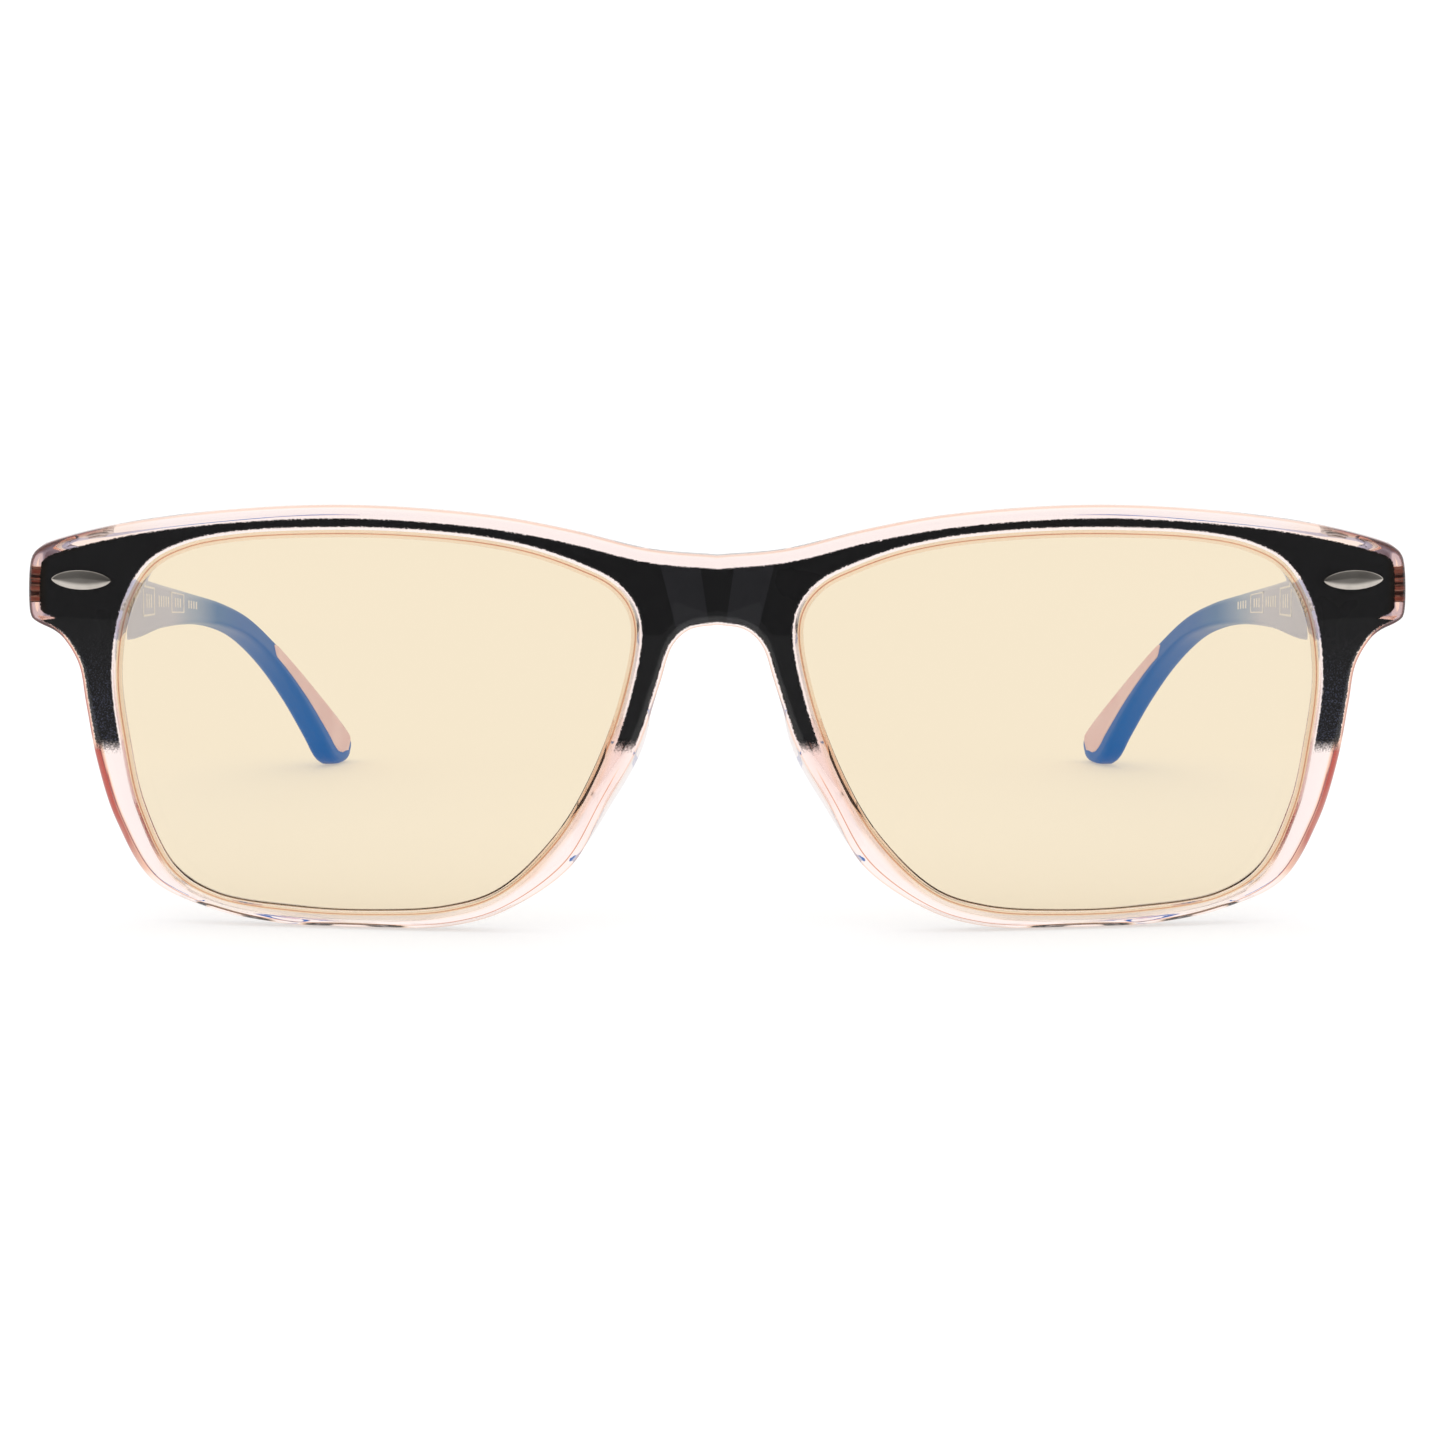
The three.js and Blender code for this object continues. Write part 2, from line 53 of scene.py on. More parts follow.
OPENING_WIDTH, OPENING_HEIGHT, BRIDGE = 51.8, 37.9, 17.2
BOTTOM_RIM, TOP_RIM, TEMPLE_RIM, NOSE_RIM = 1.7, 3.2, 4.1, 3.4
FRONT_THICKNESS, FRONT_RADIUS = 4.2, 200.0
END_OVERHANG, ENDPIECE_DEPTH = 9.7, 19.0
FOOT_CUT = 0.08  # how much of each rounded foot is cut flat
HINGE_HEIGHT, ENDPIECE_HEIGHT = 33.9, 6.4
LENS_THICKNESS, LENS_SETBACK, GROOVE_DEPTH, LENS_CLEARANCE = 2.0, 1.1, 0.8, 0.15
LENS_CHAMFER, GROOVE_EDGE = 0.25, 0.08
CREASE_FOOT, CREASES = 31.5, ((0.9, 0.15), (4.3, 0.25))  # height; start and slope of each
EASED, EASED_DEPTH, BEVEL, BEVEL_DEPTH, FACET_RISE = 1.25, 1.6, 1.05, 0.5, 0.3  # the face's edges
NOSE_PAD_LEAN, NOSE_PAD_RISE, NOSE_PAD_LONG, NOSE_PAD_WIDE = 0.5, 3.3, 8.4, 2.9
NOSE_PAD_SPLAY = 0.28  # shift towards the nose for each millimetre of height
# the black face: its depth, thickness, margins and lowest columns, and the line where it fades
FACE_UNDER, FACE_SHEET, FACE_MARGIN, THIN_MARGIN = 0.035, 0.22, 1.2, 0.4
FACE_FOOT, FADE_HEIGHT, FADE_SLOPE = 16.6, 18.5, 0.02
ACCENT_HALF, ACCENT_RISE, ACCENT_BACK, PIN_GAP = 3.3, 1.02, 0.35, 1.3
HALF_BRIDGE = BRIDGE / 2
END_X = HALF_BRIDGE + OPENING_WIDTH + END_OVERHANG
MID_HEIGHT = BOTTOM_RIM + OPENING_HEIGHT / 2
END_TOP, END_BOTTOM = HINGE_HEIGHT + ENDPIECE_HEIGHT / 2, HINGE_HEIGHT - ENDPIECE_HEIGHT / 2
HINGE_X, ENDPIECE_FROM = END_X - 7.1, 61.0
BLOCK_X = HINGE_X + 2.0  # inner side of the block behind the endpiece
TEMPLE_START, TEMPLE_LENGTH = ENDPIECE_DEPTH + 0.3, 127.6
TEMPLE_END = TEMPLE_START + TEMPLE_LENGTH
TEMPLE_LEAN, TEMPLE_CURVE, TIP_HOOK, HOOK_START, HOOK_LENGTH = 0.03, 0.00095, 0.8, 85, 42
TEMPLE_FACE, TEMPLE_THICKNESS, TIP_THICKNESS = HINGE_X + 1.9, 3.4, 2.6
PAD_LENGTH, PAD_BORDER, PAD_PROUD, PAD_SUNK = 28.0, 1.6, 0.1, 0.35
CORNER, TIP_ROUND, BUTT_ROUND = 0.85, 2.6, 0.45
HAND = {1: "right", -1: "left"}
SHIFT = TEMPLE_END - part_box("temple_arm_right")[1].y / MM

# ---- curves in a plane ----


def resample(path, positions):
    """Points of a polyline at the given distances along it."""
    reach = arc_length(path)
    return np.column_stack([np.interp(positions, reach, path[:, k]) for k in range(2)])


def arc_length(path):
    """Distance along a polyline at each of its points, from its first."""
    return np.concatenate([[0], np.cumsum(np.linalg.norm(np.diff(path, axis=0), axis=1))])


def ramp_up(value, start, width):
    """0 up to the start, then an even rise to 1 over the width."""
    return np.clip((value - start) / width, 0, 1)


def ramp_down(value, end, width):
    """An even fall from 1 to 0 over the width before the end."""
    return np.clip((end - value) / width, 0, 1)


def smooth(points, closed=False, steps=40):
    """Centripetal Catmull-Rom curve: cubic pieces whose knots are the square roots of the
    distances between the points, so it passes through each point without loops."""
    p = np.asarray(points, float)
    if closed:
        p = np.vstack([p[-1:], p, p[:2]])
    else:
        p = np.vstack([2 * p[:1] - p[1:2], p, 2 * p[-1:] - p[-2:-1]])
    u = np.linspace(0, 1, steps, endpoint=False)[None, :, None]
    p0, p1, p2, p3 = (p[k:len(p) - 3 + k, None, :] for k in range(4))
    knot = [np.sqrt(np.linalg.norm(b - a, axis=2, keepdims=True))
            for a, b in ((p0, p1), (p1, p2), (p2, p3))]
    leave = ((p1 - p0) / knot[0] - (p2 - p0) / (knot[0] + knot[1]) + (p2 - p1) / knot[1]) * knot[1]
    arrive = ((p2 - p1) / knot[1] - (p3 - p1) / (knot[1] + knot[2]) + (p3 - p2) / knot[2]) * knot[1]
    curve = (p1 + leave * u + (3 * (p2 - p1) - 2 * leave - arrive) * u ** 2
             + (2 * (p1 - p2) + leave + arrive) * u ** 3).reshape(-1, 2)
    return np.vstack([curve, p[1:2] if closed else p[-2:-1]])


def distance_to(points, path):
    """Shortest distance from each point to a polyline, all its sides at once in batches."""
    flat = points.reshape(-1, 1, 2)
    best = np.full(len(flat), 1e9)
    start, side = path[:-1], np.diff(path, axis=0)
    for k in range(0, len(start), 48):
        a, ab = start[None, k:k + 48], side[None, k:k + 48]
        share = ((flat - a) * ab).sum(-1) / np.maximum((ab * ab).sum(-1), 1e-12)
        gap = flat - a - np.clip(share, 0, 1)[..., None] * ab
        best = np.minimum(best, np.sqrt((gap * gap).sum(-1)).min(1))
    return best.reshape(points.shape[:-1])


def side_normals(path, closed=True):
    """Unit normals of a curve, to the left of its direction."""
    if closed:
        step = np.roll(path, -1, 0) - np.roll(path, 1, 0)
    else:
        step = np.gradient(path, axis=0)
    step = step / np.linalg.norm(step, axis=1, keepdims=True)
    return np.column_stack([-step[:, 1], step[:, 0]])


def on_front(u, v, dx=0.0, dz=0.0):
    """A place on the front: shares of the opening's box, plus millimetres."""
    return [HALF_BRIDGE + u * OPENING_WIDTH + dx, BOTTOM_RIM + v * OPENING_HEIGHT + dz]


OPENING = smooth([on_front(u, v) for u, v in (
    (1, 0.63), (0.984, 0.43), (0.957, 0.265), (0.897, 0.103), (0.817, 0.035), (0.66, 0.005),
    (0.51, 0), (0.36, 0.016), (0.26, 0.064), (0.15, 0.21), (0.08, 0.374), (0.025, 0.576),
    (0, 0.76), (0.012, 0.825), (0.045, 0.875), (0.105, 0.915), (0.19, 0.955), (0.295, 0.983),
    (0.45, 1), (0.61, 1), (0.77, 0.985), (0.87, 0.955), (0.935, 0.905), (0.98, 0.8))],
    closed=True, steps=12)
HALF_OUTLINE = smooth([
    on_front(0, 1, -HALF_BRIDGE, -1.5), on_front(0, 1, -1.8, -0.9),
    on_front(0.12, 1, 0, TOP_RIM - 2.2), on_front(0.28, 1, 0, TOP_RIM - 0.8),
    on_front(0.53, 1, 0, TOP_RIM), on_front(0.75, 1, 0, TOP_RIM - 0.5),
    on_front(1, 1, -1, TOP_RIM - 2.1), [END_X - 2.8, END_TOP + 1.6],
    [END_X - 1.2, END_TOP + 0.9], [END_X - 0.35, END_TOP + 0.1], [END_X, END_TOP - 1.2],
    [END_X, END_BOTTOM + 0.6], [END_X - 0.25, END_BOTTOM], [END_X - 0.9, END_BOTTOM - 0.45],
    [END_X - 2.6, END_BOTTOM - 1.2], [END_X - 3.6, END_BOTTOM - 2],
    on_front(1, 0.63, TEMPLE_RIM + 0.5, 0.6), on_front(0.99, 0.54, TEMPLE_RIM + 0.3),
    on_front(0.975, 0.385, TEMPLE_RIM), on_front(0.945, 0.22, TEMPLE_RIM - 0.4),
    on_front(0.9, 0.08, TEMPLE_RIM - 1.7, -0.6), on_front(0.82, 0, 0, 0.55 - BOTTOM_RIM * 0.55),
    on_front(0.69, 0, 0, 0.15 - BOTTOM_RIM), on_front(0.62, 0, 0, -BOTTOM_RIM - FOOT_CUT),
    on_front(0.45, 0, 0, -BOTTOM_RIM - FOOT_CUT), on_front(0.34, 0, 0, 0.45 - BOTTOM_RIM),
    on_front(0.27, 0.05, 2.2 - NOSE_RIM, -1.6), on_front(0.145, 0.2, 2 - NOSE_RIM, -2.6),
    on_front(0.08, 0.374, 1.9 - NOSE_RIM, -3), on_front(0.025, 0.576, 1.3 - NOSE_RIM, -4.4),
    on_front(0, 0.66, 0.6 - NOSE_RIM, -1.6), on_front(0, 0.72, -0.8 - NOSE_RIM, 0.2),
    on_front(0, 0.76, -HALF_BRIDGE + 2.7, 0.2), on_front(0, 0.77, -HALF_BRIDGE, 0.3)], steps=12)
HALF_OUTLINE[:, 1] = np.maximum(HALF_OUTLINE[:, 1], 0)
WHOLE_OUTLINE = np.vstack([HALF_OUTLINE, HALF_OUTLINE[::-1] * [-1, 1]])


def edge_distances(points):
    """Distances of points from the front's outer edge and from the opening."""
    return distance_to(points, WHOLE_OUTLINE), distance_to(points, OPENING)


def sag(x, z):
    """Depth of the bent face behind its foremost point: a sphere of FRONT_RADIUS."""
    return FRONT_RADIUS - np.sqrt(FRONT_RADIUS ** 2 - x ** 2 - (z - MID_HEIGHT) ** 2)


# ---- meshes ----


def grid_faces(columns, rows, around_columns=False, around_rows=False, keep=None):
    """Quads between neighbouring columns and rows of a grid, whose points are stored column by
    column; keep marks which of the quads stay."""
    i = np.arange(columns if around_columns else columns - 1)
    j = np.arange(rows if around_rows else rows - 1)
    i, j = np.meshgrid(i, j, indexing="ij")
    i2, j2 = (i + 1) % columns, (j + 1) % rows
    quads = np.stack([i * rows + j, i2 * rows + j, i2 * rows + j2, i * rows + j2], -1)
    return quads[keep] if keep is not None else quads.reshape(-1, 4)


def end_caps(columns, rows):
    """Quads that close the first and the last column of a flat tube, whose rows run along one
    side and back along the other."""
    k = np.arange(rows // 2 - 1)
    first = np.stack([k, k + 1, rows - 2 - k, rows - 1 - k], -1)
    return np.vstack([first, first + (columns - 1) * rows])


def write_mesh(name, points, faces, values=None):
    """A mesh of quads from whole arrays, in the part's frame, with float values per point."""
    mesh = bpy.data.meshes.new(name)
    place = (points - [0, SHIFT, 0]) * MM
    mesh.vertices.add(len(place))
    mesh.vertices.foreach_set("co", place.astype(np.float32).ravel())
    mesh.loops.add(faces.size)
    mesh.loops.foreach_set("vertex_index", faces.astype(np.int32).ravel())
    mesh.polygons.add(len(faces))
    mesh.polygons.foreach_set("loop_start", np.arange(0, faces.size, 4, dtype=np.int32))
    for key, value in (values or {}).items():
        mesh.attributes.new(key, "FLOAT", "POINT").data.foreach_set(
            "value", value.astype(np.float32).ravel())
    mesh.update(calc_edges=True)
    mesh.validate()
    return mesh


def finish_piece(name, points, faces, material, body, replaced=(), mirrored=False,
                 values=None, sharp=40.0, weld=0.002):
    """Welds the seams and poles, turns the faces outwards, and puts the piece on its body."""
    if mirrored:
        count = len(points)
        points = np.vstack([points, points * [-1, 1, 1]])
        faces = np.vstack([faces, faces[:, ::-1] + count])
        values = {key: np.tile(value.ravel(), 2) for key, value in (values or {}).items()}
    mesh = write_mesh(name, points, faces, values)
    shape = bmesh.new()
    shape.from_mesh(mesh)
    bmesh.ops.remove_doubles(shape, verts=shape.verts, dist=weld * MM)
    loose = [v for v in shape.verts if not v.link_faces]
    bmesh.ops.delete(shape, geom=loose, context="VERTS")
    bmesh.ops.recalc_face_normals(shape, faces=shape.faces)
    shape.to_mesh(mesh)
    shape.free()
    mesh.shade_smooth()
    mesh.set_sharp_from_angle(angle=math.radians(sharp))
    mesh.materials.append(material)
    piece = bpy.data.objects.new(name, mesh)
    bpy.context.scene.collection.objects.link(piece)
    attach(piece, body)
    if replaced:
        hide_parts(*replaced)
    return piece


# ---- material building blocks ----


def fill_socket(tree, socket, value):
    """Gives a socket a plain number or colour, or links a value into it."""
    if isinstance(value, bpy.types.NodeSocket):
        tree.links.new(value, socket)
    else:
        socket.default_value = value


def fill_sockets(tree, node, **sockets):
    """Fills the sockets of the given names, whose spaces are written as underscores."""
    for key, value in sockets.items():
        fill_socket(tree, node.inputs[key.replace("_", " ")], value)
    return node


def new_node(tree, kind, fields=None, **sockets):
    """Adds a node, sets its fields and fills its sockets."""
    node = tree.nodes.new(kind)
    for key, value in (fields or {}).items():
        setattr(node, key, value)
    return fill_sockets(tree, node, **sockets)


def math_node(tree, operation, *values, clamp=False):
    """A sum, product or other calculation of numbers or linked values."""
    node = new_node(tree, "ShaderNodeMath", {"operation": operation, "use_clamp": clamp})
    for socket, value in zip(node.inputs, values):
        fill_socket(tree, socket, value)
    return node.outputs[0]


def object_place(tree):
    """The place of a point in the piece, which patterns follow."""
    return tree.nodes.new("ShaderNodeTexCoord").outputs["Object"]


def axes_of(tree, place):
    """The three coordinates of a place, by their letters."""
    return new_node(tree, "ShaderNodeSeparateXYZ", Vector=place).outputs


def clouds(tree, place, scale, detail):
    """Random soft clouds between 0 and 1, in a scale per metre."""
    return new_node(tree, "ShaderNodeTexNoise", Vector=place, Scale=scale,
                    Detail=detail).outputs["Fac"]


def share_between(tree, value, low, high):
    """Even share from 0 to 1 of a linked value between two limits, held at both ends."""
    return new_node(tree, "ShaderNodeMapRange", Value=value, From_Min=low,
                    From_Max=high).outputs["Result"]


def painted(tree, name):
    """A value that is stored in the points of a mesh."""
    return new_node(tree, "ShaderNodeAttribute", {"attribute_name": name}).outputs["Fac"]


def ramp_node(tree, factor, stops):
    """A colour that follows a value through the given places and colours."""
    node = tree.nodes.new("ShaderNodeValToRGB")
    ramp = node.color_ramp
    while len(ramp.elements) < len(stops):
        ramp.elements.new(0.5)
    for element, (place, colour) in zip(ramp.elements, stops):
        element.position = place
        element.color = (*colour, 1)
    tree.links.new(factor, node.inputs["Fac"])
    return node.outputs["Color"]


def linear(red, green, blue):
    """Scene colour of a screen colour given in 0-255."""
    share = np.array([red, green, blue]) / 255
    return tuple(np.where(share <= 0.04045, share / 12.92, ((share + 0.055) / 1.055) ** 2.4))


def handled_group():
    """Node group: how a moulded or polished surface varies. It gives a roughness that drifts in
    soft patches, and a fine height for a bump. All materials share the patches' scale."""
    group = bpy.data.node_groups.new("handled surface", "ShaderNodeTree")
    for name, value in (("Patch Scale", 120.0), ("Fine Scale", 1500.0),
                        ("Roughness", 0.2), ("Spread", 0.05)):
        group.interface.new_socket(name, in_out="INPUT", socket_type="NodeSocketFloat")
        group.interface.items_tree[name].default_value = value
    for name in ("Roughness", "Height"):
        group.interface.new_socket(name, in_out="OUTPUT", socket_type="NodeSocketFloat")
    ins, outs = group.nodes.new("NodeGroupInput"), group.nodes.new("NodeGroupOutput")
    where = object_place(group)
    patches = clouds(group, where, ins.outputs["Patch Scale"], 3.0)
    drift = math_node(group, "MULTIPLY_ADD", patches, 2.0, -1.0)
    total = math_node(group, "MULTIPLY_ADD", drift, ins.outputs["Spread"],
                      ins.outputs["Roughness"], clamp=True)
    group.links.new(total, outs.inputs["Roughness"])
    group.links.new(clouds(group, where, ins.outputs["Fine Scale"], 2.0), outs.inputs["Height"])
    return group


HANDLED = handled_group()
# share of the black face's colour ramp for the painted reflection on the bridge's flanks
FLANK_SHEEN_TONE = 0.34


def new_material(name):
    """A material with its tree and its Principled shader."""
    material = bpy.data.materials.new(name)
    material.use_nodes = True
    return material, material.node_tree, material.node_tree.nodes["Principled BSDF"]


def add_handling(tree, shader, roughness, spread, bump=0.0, fine=1500.0):
    """Roughness and fine bump from the handled-surface group."""
    group = new_node(tree, "ShaderNodeGroup", {"node_tree": HANDLED}, Fine_Scale=fine,
                     Roughness=roughness, Spread=spread)
    fill_sockets(tree, shader, Roughness=group.outputs["Roughness"])
    if bump:
        relief = new_node(tree, "ShaderNodeBump", Height=group.outputs["Height"],
                          Strength=bump, Distance=0.00002)
        fill_sockets(tree, shader, Normal=relief.outputs["Normal"])


def clear_pink_material():
    """Clear pink plastic: its body absorbs a little green and blue, and its surface is painted
    peach to deep red where the value stored in its points is high. That is painted refraction:
    stripes, lines and tints painted where light bent and reddened inside the clear plastic would
    show."""
    material, tree, shader = new_material("clear pink plastic")
    drift = math_node(tree, "MULTIPLY_ADD", clouds(tree, object_place(tree), 90.0, 2.0), 0.5, 0.75)
    # painted refraction: a red tint painted where light bent inside the plastic would redden it
    depth = math_node(tree, "MULTIPLY", painted(tree, "painted_refraction"), drift, clamp=True)
    tone = ramp_node(tree, depth, [(0.0, (1, 1, 1)), (0.2, (1.0, 0.85, 0.68)),
                                   (0.5, (0.84, 0.4, 0.25)), (1.0, (0.25, 0.009, 0.005))])
    fill_sockets(tree, shader, Base_Color=tone, Transmission_Weight=1, IOR=1.5)
    add_handling(tree, shader, 0.02, 0.015)
    tint = new_node(tree, "ShaderNodeVolumeAbsorption", Color=(0.899, 0.246, 0.068, 1),
                    Density=50.0)
    fill_sockets(tree, tree.nodes["Material Output"], Volume=tint.outputs["Volume"])
    return material


def amber_lens_material():
    """Pale amber lens, hard and polished; a coating keeps its reflections faint."""
    material, tree, shader = new_material("amber lens")
    fill_sockets(tree, shader, Base_Color=(0.854, 0.748, 0.567, 1), Transmission_Weight=1,
                 IOR=1.28)
    add_handling(tree, shader, 0.004, 0.004)
    return material


def black_face_material():
    """Black face: deep black, with small blue flecks low beside the temples, and a painted
    reflection on the flanks beside the bridge's facet, which are painted paler as their tilt
    mirrors more light. It is ragged at its edge, and worn away to nothing over a millimetre or so
    at its lower ends."""
    material, tree, shader = new_material("black face")
    where = object_place(tree)
    axes = axes_of(tree, where)
    x, z = math_node(tree, "ABSOLUTE", axes["X"]), axes["Z"]

    flecks = math_node(tree, "SUBTRACT", clouds(tree, where, 6500.0, 1.0), 0.46)
    flecks = math_node(tree, "MULTIPLY", flecks, 4.5, clamp=True)
    beside = math_node(tree, "SUBTRACT", x, 57 * MM)
    beside = math_node(tree, "MULTIPLY", beside, 300.0, clamp=True)
    low = math_node(tree, "SUBTRACT", 31 * MM, z)
    low = math_node(tree, "MULTIPLY", low, 120.0, clamp=True)
    flecks = math_node(tree, "MULTIPLY", flecks, math_node(tree, "MULTIPLY", beside, low))

    # painted reflection: the flanks between the bridge's creases are painted paler, as their tilt
    # mirrors more light
    rise = math_node(tree, "SUBTRACT", z, CREASE_FOOT * MM)
    within = []
    for foot, slope in CREASES:
        line = math_node(tree, "MULTIPLY_ADD", rise, slope, foot * MM)
        inside = math_node(tree, "SUBTRACT", line, x)
        within.append(math_node(tree, "MULTIPLY", inside, 12000.0, clamp=True))
    flank_sheen = math_node(tree, "SUBTRACT", within[1], within[0], clamp=True)
    flank_sheen = math_node(tree, "MULTIPLY", flank_sheen, FLANK_SHEEN_TONE)
    colour = ramp_node(tree, math_node(tree, "MAXIMUM", flecks, flank_sheen), [
        (0.0, linear(32, 32, 34)), (FLANK_SHEEN_TONE, linear(49, 49, 53)), (1.0, linear(84, 88, 112))])
    fill_sockets(tree, shader, Base_Color=colour, Specular_IOR_Level=0.1)
    add_handling(tree, shader, 0.3, 0.1)

    ragged = math_node(tree, "SUBTRACT", clouds(tree, where, 5600.0, 3.0), 0.5)
    edge = math_node(tree, "MULTIPLY_ADD", ragged, 0.65, painted(tree, "inset"))
    edge = math_node(tree, "MULTIPLY", edge, 9.0, clamp=True)
    fade = math_node(tree, "MULTIPLY_ADD", ragged, 2.4, painted(tree, "above"))
    fade = math_node(tree, "MULTIPLY", fade, 0.8, clamp=True)
    fill_sockets(tree, shader, Alpha=math_node(tree, "MULTIPLY", edge, fade))
    return material


def temple_material():
    """Blue plastic that fades from pale lavender at the hinge to full blue at the tip."""
    material, tree, shader = new_material("temple blue")
    where = object_place(tree)
    along = share_between(tree, axes_of(tree, where)["Y"], (TEMPLE_START - SHIFT) * MM,
                          (TEMPLE_END - SHIFT) * MM)
    wander = math_node(tree, "SUBTRACT", clouds(tree, where, 60.0, 2.0), 0.5)
    along = math_node(tree, "MULTIPLY_ADD", wander, 0.03, along, clamp=True)
    colour = ramp_node(tree, along, [
        (0.0, linear(193, 199, 228)), (0.42, linear(189, 197, 228)), (0.51, linear(138, 166, 211)),
        (0.59, linear(40, 114, 188)), (0.67, linear(4, 101, 190)), (1.0, linear(4, 104, 200))])
    fill_sockets(tree, shader, Base_Color=colour, IOR=1.5, Specular_IOR_Level=0.2)
    add_handling(tree, shader, 0.3, 0.06, bump=0.05)
    return material


def soft_pad_material():
    """Matte pink soft plastic with a fine moulded grain."""
    material, tree, shader = new_material("soft pink pad")
    colour = ramp_node(tree, clouds(tree, object_place(tree), 220.0, 3.0), [
        (0.3, linear(226, 198, 210)), (0.7, linear(234, 210, 221))])
    fill_sockets(tree, shader, Base_Color=colour, Subsurface_Weight=0.15,
                 Subsurface_Radius=(1.0, 0.5, 0.4), Subsurface_Scale=0.0006)
    add_handling(tree, shader, 0.62, 0.06, bump=0.35, fine=3200.0)
    return material


def print_material():
    """White ink, slightly uneven."""
    material, tree, shader = new_material("white print")
    colour = ramp_node(tree, clouds(tree, object_place(tree), 2400.0, 2.0), [
        (0.3, linear(214, 220, 236)), (0.6, linear(238, 240, 248))])
    fill_sockets(tree, shader, Base_Color=colour)
    add_handling(tree, shader, 0.4, 0.08)
    return material


def metal_material(name, colour, dull, roughness, spread, bump, fine, teeth=0):
    """Bare metal: polished or as machined, with faint cloudy tarnish, and with level teeth of
    the given pitch where it is set into plastic."""
    material, tree, shader = new_material(name)
    where = object_place(tree)
    tone = ramp_node(tree, clouds(tree, where, 420.0, 3.0), [(0.3, dull), (0.65, colour)])
    fill_sockets(tree, shader, Base_Color=tone, Metallic=1)
    add_handling(tree, shader, roughness, spread, bump=bump, fine=fine)
    if teeth:
        axes = axes_of(tree, where)
        turns = math_node(tree, "MULTIPLY", axes["Z"], 2 * math.pi / (teeth * MM))
        set_in = math_node(tree, "LESS_THAN", axes["Y"], (ENDPIECE_DEPTH - SHIFT) * MM)
        wave = math_node(tree, "MULTIPLY", math_node(tree, "SINE", turns), set_in)
        fine_relief = shader.inputs["Normal"].links[0].from_socket
        relief = new_node(tree, "ShaderNodeBump", Height=wave, Normal=fine_relief, Strength=1.0,
                          Distance=0.00025)
        fill_sockets(tree, shader, Normal=relief.outputs["Normal"])
    return material


CLEAR_PINK = clear_pink_material()
AMBER = amber_lens_material()
BLACK_FACE = black_face_material()
TEMPLE_BLUE = temple_material()
PAD_PINK = soft_pad_material()
WHITE_PRINT = print_material()
POLISHED = metal_material("polished steel", linear(226, 219, 210), linear(200, 193, 184),
                          0.16, 0.05, 0.03, 1800.0)
HINGE_METAL = metal_material("hinge metal", linear(226, 222, 222), linear(190, 188, 190),
                             0.3, 0.1, 0.12, 2600.0, teeth=1.1)

# ---- the front ----
EDGE_ROWS = np.array([0, 0.03, 0.11, 0.25, 0.45, 0.68, 0.8, 0.9, 1.0, 1.2, 1.45])
OPENING_ROWS = np.array([0, 0.04, 0.1, 0.17, 0.3, 0.42, 0.5, 0.58, 0.75, 1.05, 1.45])
COLUMN_STEP, MIDDLE_COLUMNS, EVENING_PASSES = 0.42, 24, 60


def eased(distance, width, depth):
    """Depth of a rounded edge at a distance from it: a quarter of an ellipse."""
    rest = np.clip(1 - distance / width, 0, 1)
    return depth * (1 - np.sqrt(1 - rest ** 2))


def edge_width(x):
    """Width of the rounded edge: narrower at the endpieces, whose edges are crisper."""
    return EASED * (1 - 0.55 * ramp_up(np.abs(x), ENDPIECE_FROM, 5))


def face_depth(points, to_edge, to_opening):
    """Depth of the front's face: the bent surface, a flat facet on the bridge with two creases
    that lean outwards, a rounded outer edge and a soft bevel round the opening."""
    x, z = np.abs(points[..., 0]), points[..., 1]
    inner, outer = (foot + (z - CREASE_FOOT) * slope for foot, slope in CREASES)
    rise = FACET_RISE * ramp_down(x, outer, outer - inner)
    room = np.minimum(1, 0.5 * (to_edge + to_opening) / EASED)
    bevel = BEVEL_DEPTH * ramp_down(to_opening, BEVEL * room, BEVEL * room) ** 1.6
    width = edge_width(x)
    return sag(x, z) - rise + eased(to_edge, width * room, EASED_DEPTH * width / EASED) + bevel


